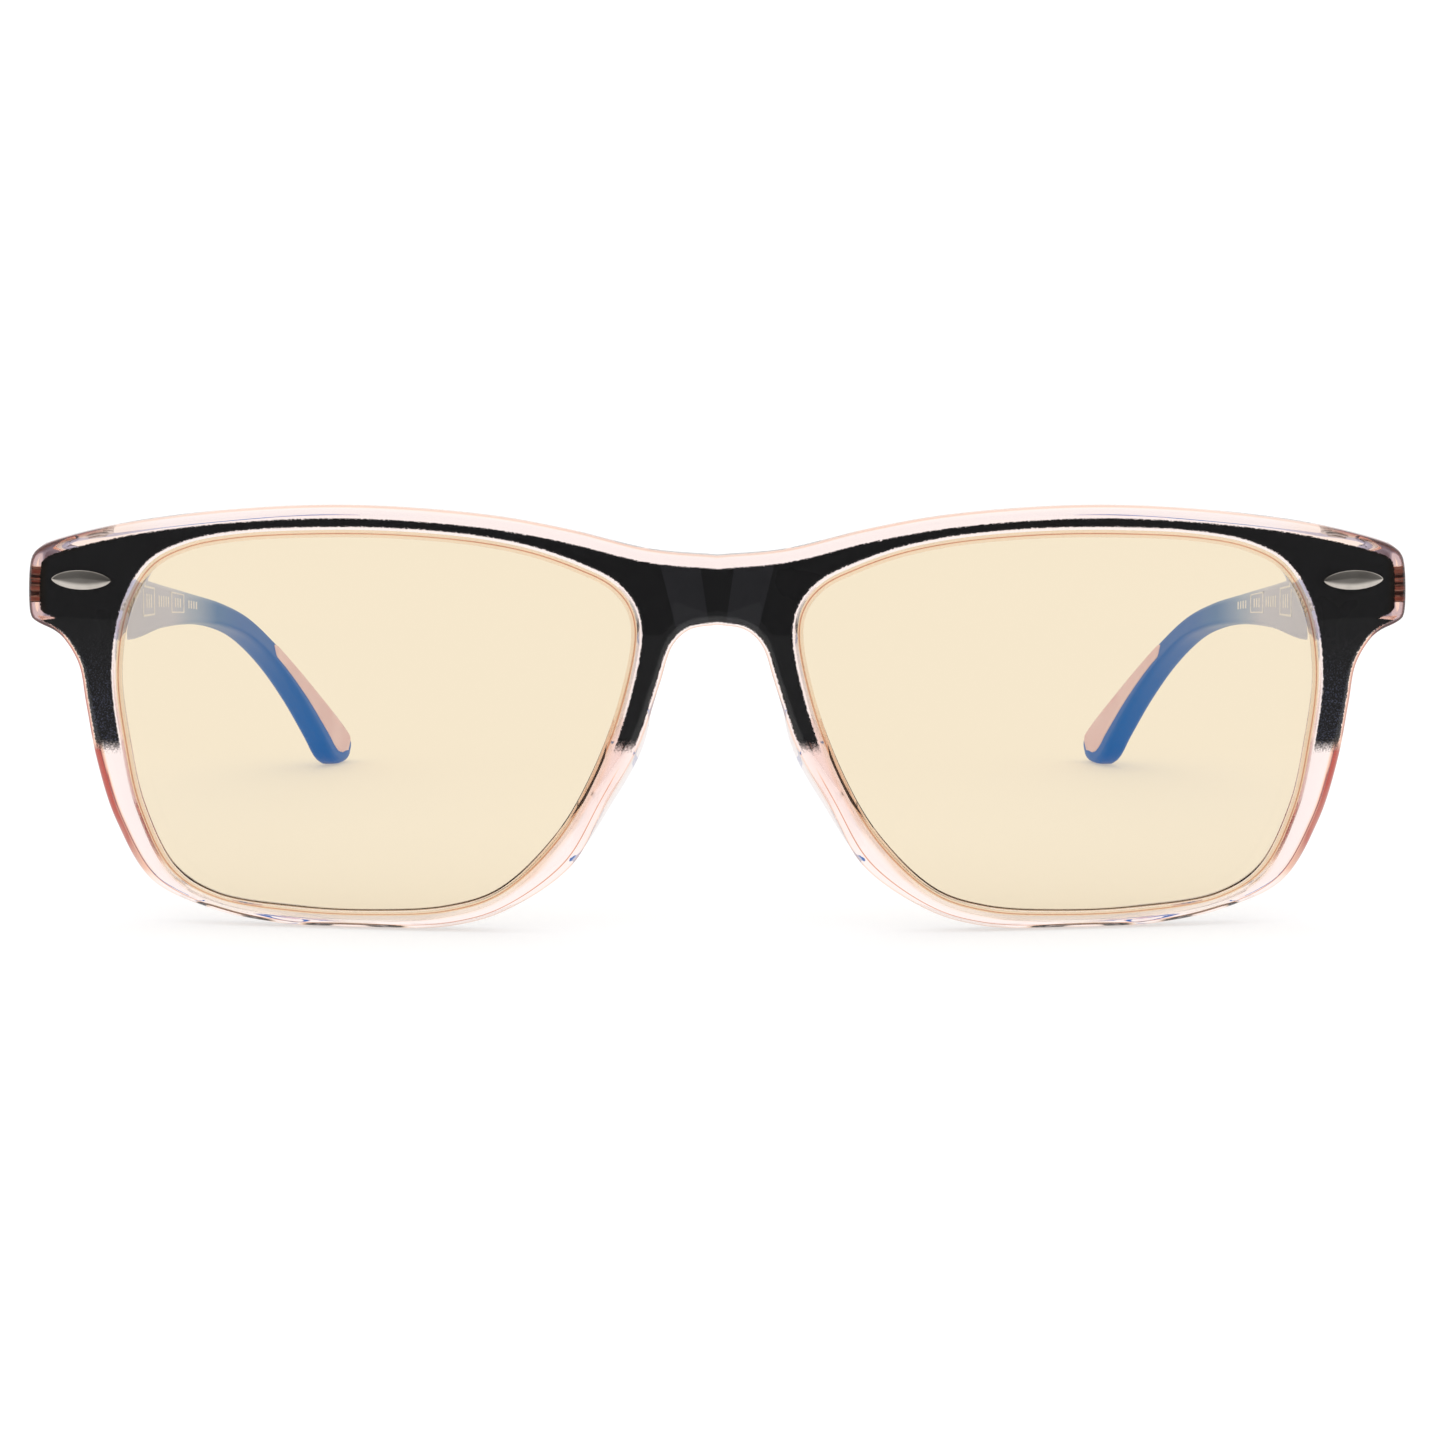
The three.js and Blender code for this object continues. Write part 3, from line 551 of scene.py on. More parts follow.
def column_layout():
    """Columns across the rim: each runs from a point of the outer edge, or of the mid-plane at
    the bridge, to its partner on the opening. Partners are the nearest points of the opening,
    kept level beside the endpiece and then evened out along the rim."""
    reach = arc_length(HALF_OUTLINE)
    x, z = HALF_OUTLINE.T
    block = reach[(x > END_X - 1.7) & (z > END_BOTTOM - 0.5) & (z < END_TOP + 1.0)]
    close = np.array([-0.02, 0, 0.05, 0.14, 0.28, 0.5, 0.8])
    even = np.linspace(0, reach[-1], int(reach[-1] / COLUMN_STEP))
    along = np.unique(np.round(np.concatenate([even, block[0] + close, block[-1] - close]), 4))
    edge = resample(HALF_OUTLINE, along)
    edge[0, 0] = edge[-1, 0] = 0
    top, bottom = edge[0, 1], edge[-1, 1]
    ease = (1 - np.cos(np.linspace(0, np.pi, MIDDLE_COLUMNS + 2)[1:-1])) / 2
    heights = np.unique([*(bottom + (top - bottom) * ease), bottom + 0.4, top - 1.2])
    start = np.vstack([edge, np.column_stack([0 * heights, heights])])
    aim = start.copy()
    beside = aim[:, 0] > ENDPIECE_FROM
    aim[beside] = np.column_stack([np.full(beside.sum(), 60.4), np.clip(aim[beside, 1], 5, 37)])
    opening_reach = arc_length(OPENING)
    whole = opening_reach[-1]
    gap = np.linalg.norm(aim[:, None] - OPENING[None, :-1], axis=2)
    at = opening_reach[gap.argmin(1)]
    step = (np.diff(at) + whole / 2) % whole - whole / 2
    at = np.maximum.accumulate(at[0] + np.concatenate([[0], np.cumsum(step)]))
    for _ in range(EVENING_PASSES):
        before = np.concatenate([[at[-1] - whole], at[:-1]])
        after = np.concatenate([at[1:], [at[0] + whole]])
        at = 0.5 * at + 0.25 * (before + after)
    on_middle = np.arange(len(start)) >= len(edge)
    marks = [np.abs(along - end).argmin() for end in (block[0], block[-1])]
    return start, resample(OPENING, at % whole), on_middle, marks


START, PARTNER, ON_MIDDLE, BLOCK_MARKS = column_layout()
SPAN = np.linalg.norm(PARTNER - START, axis=1)
ACROSS = (PARTNER - START) / SPAN[:, None]


def line_distance(points, mark, sign):
    """Signed distance of points from the line of one column."""
    normal = sign * np.array([-ACROSS[mark][1], ACROSS[mark][0]])
    return (points - START[mark]) @ normal


def nose_pad_height(points):
    """Height of the nose pad that stands on the rear of the rim: an oval dome that lies along
    the nose edge."""
    at_x, at_z = on_front(0.09, 0.36, -2.6, 0)
    x, z = points[..., 0] - at_x, points[..., 1] - at_z
    along = z * math.cos(NOSE_PAD_LEAN) - x * math.sin(NOSE_PAD_LEAN)
    over = x * math.cos(NOSE_PAD_LEAN) + z * math.sin(NOSE_PAD_LEAN)
    inside = 1 - (along / NOSE_PAD_LONG) ** 2 - (over / NOSE_PAD_WIDE) ** 2
    return NOSE_PAD_RISE * np.clip(inside, 0, 1) ** 1.3


def rear_depth(points, to_edge, to_opening):
    """Depth of the rear face: parallel to the bent front, rounded at both edges, with the nose
    pad on it; behind the endpiece it steps back to the flat face that meets the temple."""
    x, z = points[..., 0], points[..., 1]
    room = np.minimum(1, 0.5 * (to_edge + to_opening) / EASED)
    plate = (sag(x, z) + FRONT_THICKNESS - eased(to_edge, EASED * room, EASED_DEPTH)
             - eased(to_opening, 0.6 * room, 0.5))
    plate = plate + nose_pad_height(points)
    first, last = BLOCK_MARKS
    inside = np.minimum(line_distance(points, first, 1), line_distance(points, last, -1))
    inside = np.minimum(inside, x - BLOCK_X)
    step = ENDPIECE_DEPTH - eased(np.minimum(inside, to_edge), 0.8, 0.8)
    return np.where(inside > -1e-4, step, plate)


def painted_refraction_value(plane, to_edge, to_opening, room, face_rows):
    """How much painted refraction tints the clear plastic: colour painted in place of light that is
    bent and reddened inside it. A stripe runs down the outer edge, deepest at the low corner. The
    face also has a band and a thin line round the opening, a thin line in the lower rim, a thin
    outer line, and a light tint over the top and the end of the endpiece."""
    x, z = plane[..., 0], plane[..., 1]
    corner = ramp_up(x, 56, 4) * ramp_up(z, 3.5, 2) * ramp_down(z, 19, 1.5)
    upper = ramp_up(x, 60, 3) * ramp_up(z, 17.5, 1.5)
    stripe = [corner * ramp_down(to_edge, 1.15, 0.4), upper * ramp_down(to_edge, 0.45, 0.3)]
    by_nose = ramp_down(x, 22, 3) * ramp_down(z, 27, 6)
    face = np.maximum.reduce([
        (0.13 + 0.15 * by_nose) * ramp_down(to_opening, 1.05, 0.15),
        0.9 * ramp_down(np.abs(to_opening / room - 0.42), 0.12, 0.12),
        ramp_down(z, 17, 2) * ramp_down(np.abs(to_edge / room - 0.9), 0.1, 0.1),
        0.42 * ramp_down(to_edge, 0.24, 0.12),
        0.15 * ramp_up(x, END_X - 14, 4) * ramp_up(z, 35, 2) * (to_edge < 1.4),
        0.32 * ramp_up(x, END_X - 1.9, 0.5) * ramp_up(z, 28, 2)])
    face[:, face_rows:] = 0
    return np.maximum.reduce([*stripe, face])


def front_piece():
    """The front as one closed skin: for each column, a loop of points that runs over the face,
    down the opening's wall and its lens groove, back over the rear face and up the outer wall.
    Half of it is made and mirrored."""
    lean = np.abs((ACROSS * side_normals(START)).sum(1))
    lean = np.where(ON_MIDDLE, 1, np.clip(lean, 0.6, 1))
    room = np.minimum(1, 0.44 * SPAN / EDGE_ROWS[-1])
    outer = EDGE_ROWS * room[:, None] / lean[:, None]
    inner = SPAN[:, None] - OPENING_ROWS * room[:, None]
    between = np.linspace(0, 1, 16)[None, 1:-1]
    bridge_rows = outer[:, -1:] + (inner[:, -1:] - outer[:, -1:]) * between
    front_along = np.hstack([outer, bridge_rows, inner[:, ::-1]])

    # rear rows, from the opening outwards, with a pair that makes the block's inner wall
    block_at = (START[:, 0] - BLOCK_X) / np.maximum(-ACROSS[:, 0], 0.05)
    has_block = (START[:, 0] > BLOCK_X + 2.2) & (START[:, 1] > 20)
    wall = np.array([0.03, 0, -0.05, -0.14, -0.28, -0.5, -0.8])
    plain = inner[:, -1:] + (outer[:, -1:] - inner[:, -1:]) * np.linspace(0, 1, 12)[None, 1:-1]
    stepped = np.hstack([
        inner[:, -1:] + (block_at[:, None] + 0.03 - inner[:, -1:]) * np.array([[0.34, 0.68]]),
        block_at[:, None] + wall,
        (block_at[:, None] - 0.8 + outer[:, -1:]) / 2])
    middle_rows = np.where(has_block[:, None], stepped, plain)
    rear_along = np.hstack([inner, middle_rows, outer[:, ::-1]])

    def spread(along):
        return START[:, None] + ACROSS[:, None] * along[..., None]

    front_at, rear_at = spread(front_along), spread(rear_along)
    front_y = face_depth(front_at, *edge_distances(front_at))
    rear_y = rear_depth(rear_at, *edge_distances(rear_at))
    rear_at = rear_at - nose_pad_height(rear_at)[..., None] * [NOSE_PAD_SPLAY, 0]

    away = -side_normals(PARTNER)
    away *= np.sign((away * (START - PARTNER)).sum(1))[:, None]
    deep = PARTNER + away * (GROOVE_DEPTH + LENS_CLEARANCE)
    near = LENS_SETBACK - LENS_CLEARANCE
    far = LENS_SETBACK + LENS_THICKNESS + LENS_CLEARANCE
    groove_at = np.stack([PARTNER, PARTNER, deep, deep, PARTNER, PARTNER], 1)
    groove_y = sag(*PARTNER.T)[:, None] + [near - GROOVE_EDGE, near, near, far, far,
                                           far + GROOVE_EDGE]
    up = np.array([0.25, 0.6])
    wall_at = rear_at[:, -1:] * (1 - up[:, None]) + START[:, None] * up[:, None]
    wall_y = rear_y[:, -1:] * (1 - up) + front_y[:, :1] * up

    plane = np.concatenate([front_at, groove_at, rear_at, wall_at], 1)
    depth = np.concatenate([front_y, groove_y, rear_y, wall_y], 1)
    points = np.stack([plane[..., 0], depth, plane[..., 1]], -1)
    # painted refraction: a tint stored in the points in place of light bent inside the clear
    # plastic
    painted_refraction = painted_refraction_value(plane, *edge_distances(plane), room[:, None], front_y.shape[1])
    columns, rows = depth.shape
    keep = np.ones((columns, rows), bool)
    open_side = ON_MIDDLE | np.roll(ON_MIDDLE, -1)
    open_side[np.flatnonzero(~ON_MIDDLE)[-1]] = True
    keep[open_side, rows - 3:] = False
    faces = grid_faces(columns, rows, True, True, keep)
    return finish_piece("clear_front", points.reshape(-1, 3), faces, CLEAR_PINK, "front",
                        ["front_frame", "nose_pad_left", "nose_pad_right"],
                        mirrored=True, values={"painted_refraction": painted_refraction}, sharp=32)


front_piece()


def black_face_piece():
    """The black face: a thin closed sheet just under the gloss of the front. Each column starts
    where the margin to the outer edge is right and ends where the bevel begins, both found by
    halving the step. The value inset is the distance from the sheet's own edge."""
    low = (START[:, 1] < FACE_FOOT) & ~ON_MIDDLE
    order = np.roll(np.arange(len(START)), -(np.flatnonzero(low)[-1] + 1))
    order = order[~low[order]]
    start, across, span = START[order], ACROSS[order], SPAN[order]

    def margin(points):
        under = (points[..., 0] < HALF_BRIDGE + NOSE_RIM) & (points[..., 1] < HINGE_HEIGHT)
        return np.where(under | (points[..., 1] < END_BOTTOM), THIN_MARGIN, FACE_MARGIN)

    def reach(ok_from, ok_to, test):
        bad, good = ok_from.copy(), ok_to.copy()
        for _ in range(16):
            middle = (bad + good) / 2
            fits = test(start + across * middle[:, None])
            good, bad = np.where(fits, middle, good), np.where(fits, bad, middle)
        return good

    first = reach(0 * span - 1e-3, span / 2,
                  lambda p: distance_to(p, WHOLE_OUTLINE) >= margin(p)).clip(0)
    first[ON_MIDDLE[order] & (first < 2e-3)] = 0
    last = reach(span, span / 2, lambda p: distance_to(p, OPENING) >= BEVEL)
    share = np.array([0, 0.12, 0.3, 0.6, 1.0])
    lead = np.minimum(1.0, 0.35 * (last - first))[:, None] * share
    inner = (last[:, None] - lead)[:, ::-1]
    gap = (inner[:, :1] - first[:, None] - lead[:, -1:])
    between = first[:, None] + lead[:, -1:] + gap * np.linspace(0, 1, 16)[None, 1:-1]
    along = np.hstack([first[:, None] + lead, between, inner])
    at = start[:, None] + across[:, None] * along[..., None]
    to_edge, to_opening = edge_distances(at)
    inset = np.minimum(to_edge - margin(at), to_opening - BEVEL)
    top = face_depth(at, to_edge, to_opening) + FACE_UNDER
    plane = np.concatenate([at, at[:, ::-1]], 1)
    depth = np.concatenate([top, top[:, ::-1] + FACE_SHEET], 1)
    inset = np.concatenate([inset, inset[:, ::-1]], 1)
    above = plane[..., 1] - (FADE_HEIGHT - FADE_SLOPE * (plane[..., 0] - 9))
    points = np.stack([plane[..., 0], depth, plane[..., 1]], -1)
    columns, rows = depth.shape
    keep = np.ones((columns - 1, rows), bool)
    at_middle = points[:, 0, 0] < 1e-6
    keep[at_middle[1:] & at_middle[:-1], rows - 1] = False
    faces = np.vstack([grid_faces(columns, rows, False, True, keep), end_caps(columns, rows)])
    return finish_piece("black_face", points.reshape(-1, 3), faces, BLACK_FACE, "front",
                        ["front_face_layer"], mirrored=True,
                        values={"inset": inset, "above": above}, sharp=50)


black_face_piece()


def lens_piece(side):
    """A lens: rings that shrink from the edge in the groove to a pole, on two bent surfaces."""
    loop = resample(OPENING, np.linspace(0, arc_length(OPENING)[-1], 241)[:-1])
    out = side_normals(loop)
    centre = loop.mean(0)
    out *= np.sign((out * (loop - centre)).sum(1))[:, None]
    rim = loop + out * GROOVE_DEPTH
    shares = np.array([1, 0.985, 0.96, 0.9, 0.8, 0.65, 0.5, 0.34, 0.18, 0.0])
    at = centre + (rim[:, None] - centre) * shares[None, :, None]
    near = sag(at[..., 0], at[..., 1]) + LENS_SETBACK
    near[:, 0] += LENS_CHAMFER
    far = sag(at[..., 0], at[..., 1]) + LENS_SETBACK + LENS_THICKNESS
    far[:, 0] -= LENS_CHAMFER
    plane = np.concatenate([at, at[:, ::-1]], 1)
    depth = np.concatenate([near, far[:, ::-1]], 1)
    points = np.stack([plane[..., 0] * side, depth, plane[..., 1]], -1)
    faces = grid_faces(*depth.shape, True, True)
    return finish_piece(f"amber_lens_{HAND[side]}", points.reshape(-1, 3), faces, AMBER, "front",
                        [f"lens_{HAND[side]}"])


def stud_piece(side):
    """The almond accent: its outline is a cosine along and a power of a sine across. Its crown
    falls to a soft edge, and two pins hold it in the endpiece."""
    turn = np.linspace(0, np.pi, 41)[:-1]
    upper = np.column_stack([ACCENT_HALF * np.cos(turn), ACCENT_RISE * np.sin(turn) ** 1.25])
    rim = np.vstack([upper, -upper])
    shares = np.array([0, 0.15, 0.3, 0.45, 0.6, 0.74, 0.86, 0.94, 0.985, 1.0])
    crown = -0.2 - 0.32 * np.sqrt(np.clip(1 - shares ** 2.2, 0, 1))
    x = np.concatenate([rim[:, :1] * shares, rim[:, :1] * [[1, 0]]], 1)
    z = np.concatenate([rim[:, 1:] * shares, rim[:, 1:] * [[1, 0]]], 1)
    y = np.concatenate([np.tile(crown, (len(rim), 1)), np.full((len(rim), 2), ACCENT_BACK)], 1)
    points = [np.stack([x, y, z], -1).reshape(-1, 3)]
    faces = [grid_faces(*x.shape, True, False)]
    turn = np.linspace(0, 2 * np.pi, 17)[:-1]
    pin_radius, pin_depth = np.array([0, 0.45, 0.45, 0.38, 0]), [0.3, 0.3, 1.5, 1.6, 1.6]
    for middle in (-PIN_GAP, PIN_GAP):
        x = middle + np.outer(np.cos(turn), pin_radius)
        z = np.outer(np.sin(turn), pin_radius)
        faces.append(grid_faces(*x.shape, True, False) + sum(map(len, points)))
        points.append(np.stack([x, np.tile(pin_depth, (len(turn), 1)), z], -1).reshape(-1, 3))
    points = np.vstack(points)
    at_x, at_z = END_X - 5.55, HINGE_HEIGHT + 0.9
    tilt = math.asin(at_x / FRONT_RADIUS)
    x = points[:, 0] * math.cos(tilt) - points[:, 1] * math.sin(tilt) + at_x
    y = points[:, 0] * math.sin(tilt) + points[:, 1] * math.cos(tilt) + sag(at_x, at_z)
    points = np.column_stack([x * side, y, points[:, 2] + at_z])
    return finish_piece(f"steel_accent_{HAND[side]}", points, np.vstack(faces), POLISHED,
                        "front", [f"accent_stud_{HAND[side]}"], sharp=45)


# ---- the temples ----


def temple_edge(places):
    """A temple edge in the side view, from shares of the length and heights."""
    return smooth([[TEMPLE_START + share * TEMPLE_LENGTH, z] for share, z in places])


TOP_EDGE = temple_edge([(0, HINGE_HEIGHT + 3.7), (0.3, 30.85), (0.5, 26.7), (0.62, 24), (0.7, 21.4),
                        (0.78, 17.4), (0.87, 12), (0.94, 7.3), (0.972, 5.0), (0.99, 3.4),
                        (0.9985, 2.2), (1.0, 1.4)])
BOTTOM_EDGE = temple_edge([(0, HINGE_HEIGHT - 3.6), (0.12, 27.4), (0.26, 24.5), (0.4, 24),
                           (0.52, 22.9), (0.62, 21.3), (0.71, 18.7), (0.79, 14.5), (0.86, 9.2),
                           (0.919, 3.5), (0.94, 1.2), (0.958, 0.1), (0.976, -0.05),
                           (0.992, 0.35), (0.9985, 0.8), (1.0, 1.4)])
BOTTOM_EDGE[:, 1] = np.maximum(BOTTOM_EDGE[:, 1], 0)


def inner_face(y):
    """Inner face of the temple in plan: it leans in, curves in with the distance squared, and
    hooks in a little more at the tip."""
    run = y - TEMPLE_START
    hook = TIP_HOOK * ramp_up(run, HOOK_START, HOOK_LENGTH) ** 2
    return TEMPLE_FACE - TEMPLE_LEAN * run - TEMPLE_CURVE * run ** 2 - hook


def temple_thickness(y):
    """Thickness, tapering evenly from the butt to the tip."""
    share = (y - TEMPLE_START) / TEMPLE_LENGTH
    return TEMPLE_THICKNESS + (TIP_THICKNESS - TEMPLE_THICKNESS) * share


def temple_stations():
    """Pairs of top and bottom points across the temple, square to its middle line, with close
    stations at the butt, at the tip and at the ends of the pad."""
    top_reach, bottom_reach = arc_length(TOP_EDGE), arc_length(BOTTOM_EDGE)
    pairs = np.array([[0, 0], [0.3, 0.29], [0.5, 0.487], [0.62, 0.595], [0.7, 0.662], [0.78, 0.735],
                      [0.87, 0.826], [0.94, 0.897], [0.985, 0.957], [1.0, 1.0]])
    top_at = np.interp(TEMPLE_START + pairs[:, 0] * TEMPLE_LENGTH, TOP_EDGE[:, 0], top_reach)
    along_bottom = np.maximum.accumulate(BOTTOM_EDGE[:, 0])
    bottom_at = np.interp(TEMPLE_START + pairs[:, 1] * TEMPLE_LENGTH, along_bottom, bottom_reach)
    top_at[-1], bottom_at[-1] = top_reach[-1], bottom_reach[-1]
    length = top_reach[-1]
    pad_start = np.interp(TEMPLE_END - PAD_LENGTH, TOP_EDGE[:, 0], top_reach)
    pad_end = length - 1.5
    close = np.array([-0.03, 0, 0.03])
    ends = length - np.array([2.6, 2.0, 1.5, 1.1, 0.75, 0.45, 0.24, 0.1, 0.03, 0])
    stations = np.unique(np.round(np.concatenate([
        [0, 0.04, 0.12, 0.25, 0.45], np.linspace(0.8, length - 3.2, 150),
        pad_start + close, pad_end + close, ends]), 4))
    top = resample(TOP_EDGE, stations)
    bottom = resample(BOTTOM_EDGE, np.interp(stations, top_at, bottom_at))
    return stations, top, bottom, pad_start, pad_end


STATIONS, TOP, BOTTOM, PAD_START, PAD_END = temple_stations()


def section_place(top, bottom, share, depth, inset=0.0):
    """A point in a temple's section: share 0 at its top edge and 1 at its bottom edge, depth 0
    on the inner face and 1 on the outer; inset moves it deeper from the inner face, in mm."""
    plane = top + (bottom - top) * share[..., None]
    x = inner_face(plane[..., 0]) + temple_thickness(plane[..., 0]) * depth + inset
    return np.stack([x, plane[..., 0], plane[..., 1]], -1)


def tip_round(stations):
    """Share of the thickness that is left near the end of the tip: a quarter of an ellipse."""
    left = (STATIONS[-1] - stations) / TIP_ROUND
    return np.sqrt(np.clip(1 - np.clip(1 - left, 0, 1) ** 2, 0, 1))


def round_corner(size):
    """A rounded corner's quarter turn: 1 - cosine and 1 - sine of it, times its size."""
    angle = np.linspace(0, np.pi / 2, 8)[None, :]
    return size * (1 - np.cos(angle)), size * (1 - np.sin(angle))


def temple_piece(side):
    """A temple: at each station a rounded rectangle between its top and bottom edges. The
    sections shrink to a round end at the tip and ease in at the butt."""
    h = np.linalg.norm(BOTTOM - TOP, axis=1)[:, None]
    w = temple_thickness(TOP[:, :1])
    butt = 1 - 0.16 * ramp_down(STATIONS[:, None], BUTT_ROUND, BUTT_ROUND) ** 2
    c = np.minimum(CORNER, np.minimum(0.48 * h, 0.46 * w))
    grow, shrink = round_corner(c)
    face = np.array([[0.2, 0.4, 0.6, 0.8]])
    down = c + (h - 2 * c) * face
    across = np.hstack([grow, down, h - shrink, h - grow, down[:, ::-1], shrink])
    deep = np.hstack([shrink, 0 * down, grow, w - shrink, w + 0 * down, w - grow])
    share = 0.5 + (across / np.maximum(h, 1e-6) - 0.5) * butt
    depth = 0.5 + (deep / w - 0.5) * tip_round(STATIONS[:, None]) * butt
    points = section_place(TOP[:, None], BOTTOM[:, None], share, depth)
    points[..., 0] *= side

    # a fan closes the butt; its middle is stored twice and welded
    columns, rows = share.shape
    ring, middle = np.arange(rows), points[0].mean(0)
    first, second = np.full((2, rows), columns * rows) + [[0], [1]]
    fan = np.stack([ring, (ring + 1) % rows, first, second], -1)
    points = np.vstack([points.reshape(-1, 3), middle, middle])
    faces = np.vstack([grid_faces(columns, rows, False, True), fan])
    return finish_piece(f"blue_temple_{HAND[side]}", points, faces, TEMPLE_BLUE,
                        f"temple_{HAND[side]}", [f"temple_arm_{HAND[side]}"],
                        sharp=42)


def pad_piece(side):
    """The soft pad: wraps the temple's inner face from the rounded top corner to a blue border
    along the bottom, a little proud, with a rounded lip all round and a slanted start."""
    inside = (STATIONS > PAD_START + 0.04) & (STATIONS < PAD_END - 0.04)
    top, bottom = TOP[inside], BOTTOM[inside]
    h = np.linalg.norm(bottom - top, axis=1)[:, None]
    w = temple_thickness(top[:, :1])
    at = STATIONS[inside][:, None]
    to_tip = at[-1] - at
    border = PAD_BORDER + 0.5 * (h - 2 * PAD_BORDER) * ramp_down(to_tip, 2.2, 2.2) ** 2.5
    low = h - np.minimum(border, 0.46 * h)
    low = CORNER * 0.5 + (low - CORNER * 0.5) * (0.25 + 0.75 * ramp_up(at, at[0], 4))
    angle = np.array([[0.6, 0.8, 1.0, 1.2, 1.4, np.pi / 2]])
    arc_across, arc_deep = CORNER * (1 - np.cos(angle)), CORNER * (1 - np.sin(angle))
    flat = np.array([[0.1, 0.3, 0.5, 0.7, 0.88, 0.97, 1.0]])
    across = np.hstack([arc_across + 0 * h, CORNER + np.maximum(low - CORNER, 0.05) * flat])
    deep = np.hstack([arc_deep + 0 * h, 0 * h * flat])
    lip = np.array([[0.0, 0.7, 1, 1, 1, 1, 1, 1, 1, 1, 1, 0.7, 0.0]])
    ends = np.clip(np.minimum(at - at[0], to_tip) / 0.4, 0, 1)
    proud = PAD_PROUD * lip * np.sqrt(ends * (2 - ends))
    depth = 0.5 + (deep / w - 0.5) * tip_round(at)
    outer, sunk = (section_place(top[:, None], bottom[:, None], across / h, depth, inset)
                   for inset in (-proud, PAD_SUNK))
    points = np.concatenate([outer, sunk[:, ::-1]], 1)
    points[..., 0] *= side
    columns, rows = points.shape[:2]
    faces = np.vstack([grid_faces(columns, rows, False, True), end_caps(columns, rows)])
    return finish_piece(f"soft_pad_{HAND[side]}", points.reshape(-1, 3), faces, PAD_PINK,
                        f"temple_{HAND[side]}", [f"temple_tip_pad_{HAND[side]}"],
                        sharp=60)


def print_piece(side):
    """Plain print on the inner face: two square frames, and even short bars in and behind them.
    Each bar is a thin closed plate that follows the face."""
    level = [(y, 6.4, low, low + 0.035) for y in (57.0, 72.0) for low in (0.13, 0.62)]
    upright = [(y + step, 0.4, 0.13, 0.655) for y in (57.0, 72.0) for step in (0, 6.0)]
    groups = ((58.8, 3), (65.4, 5), (73.8, 3), (80.4, 4))
    short = [(y + 1.2 * k, 0.55, 0.27, 0.51) for y, count in groups for k in range(count)]
    bars = []
    for first, width, low, high in level + upright + short:
        along = np.linspace(first, first + width, 9)
        top = np.column_stack([along, np.interp(along, TOP_EDGE[:, 0], TOP_EDGE[:, 1])])
        bottom = np.column_stack([along, np.interp(along, BOTTOM_EDGE[:, 0], BOTTOM_EDGE[:, 1])])
        share = np.array([[low, high, high, low]]).repeat(len(along), 0)
        lift = np.array([[-0.02, -0.02, 0.05, 0.05]])
        bars.append(section_place(top[:, None], bottom[:, None], share, 0 * share, lift))
    points = np.stack(bars)
    points[..., 0] *= side
    count, columns, rows = points.shape[:3]
    one = np.vstack([grid_faces(columns, rows, False, True), [[0, 1, 2, 3]],
                     [[(columns - 1) * rows + k for k in (3, 2, 1, 0)]]])
    faces = (one[None] + (np.arange(count) * columns * rows)[:, None, None]).reshape(-1, 4)
    return finish_piece(f"printed_bars_{HAND[side]}", points.reshape(-1, 3), faces, WHITE_PRINT,
                        f"temple_{HAND[side]}", sharp=30)


for hand in HAND:
    for make in (lens_piece, stud_piece, temple_piece, pad_piece, print_piece):
        make(hand)

for name in ("hinge_front_leaf", "hinge_temple_leaf", "hinge_screw"):
    for hand in HAND.values():
        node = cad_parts[f"{name}_{hand}"]
        slots = node.material_slots
        if slots:
            slots[0].material = HINGE_METAL
        else:
            node.data.materials.append(HINGE_METAL)

# ---- floor, light and camera ----
scene = bpy.context.scene
scene.view_settings.view_transform = "Standard"
WHITE = 1.1
FLOOR_HALF, FLOOR_UNDER = 6, 0.0001  # metres
DIM_FROM, DIM_FULL = -0.11, -0.17  # where the mirrored floor ahead gets dim, metres
CAMERA_AT, CAMERA_HEIGHT, CAMERA_DROP = -615.92, 92.5, 6.5747  # place, and degrees down
FOCAL_LENGTH, SENSOR, SIDE_SHIFT = 154.463668, 36, 0.0036


def grey(*shares):
    """Ramp stops of plain greys, from pairs of a place and a brightness."""
    return [(place, (tone, tone, tone)) for place, tone in shares]


def make_floor():
    """A wide plain pale floor. What is mirrored finds it dimmer ahead of the glasses, as under
    a camera's hood."""
    mesh = bpy.data.meshes.new("floor")
    mesh.from_pydata([(x * FLOOR_HALF, y * FLOOR_HALF, -FLOOR_UNDER)
                      for x, y in ((-1, -1), (1, -1), (1, 1), (-1, 1))], [], [(0, 1, 2, 3)])
    material, tree, shader = new_material("pale floor")
    ahead = share_between(tree, axes_of(tree, object_place(tree))["Y"], DIM_FROM, DIM_FULL)
    mirrors = tree.nodes.new("ShaderNodeLightPath").outputs["Glossy Depth"]
    mirrored = math_node(tree, "MINIMUM", mirrors, 1.0)
    dim = math_node(tree, "MULTIPLY", ahead, mirrored)
    tone = ramp_node(tree, dim, grey((0.0, 0.5), (1.0, 0.12)))
    glow = ramp_node(tree, dim, [(0.0, (0.545, 0.54, 0.54)), (1.0, (0.13, 0.13, 0.13))])
    fill_sockets(tree, shader, Base_Color=tone, Emission_Color=glow, Emission_Strength=1,
                 Roughness=0.9, Specular_IOR_Level=0.0)
    mesh.materials.append(material)
    floor = bpy.data.objects.new("floor", mesh)
    scene.collection.objects.link(floor)


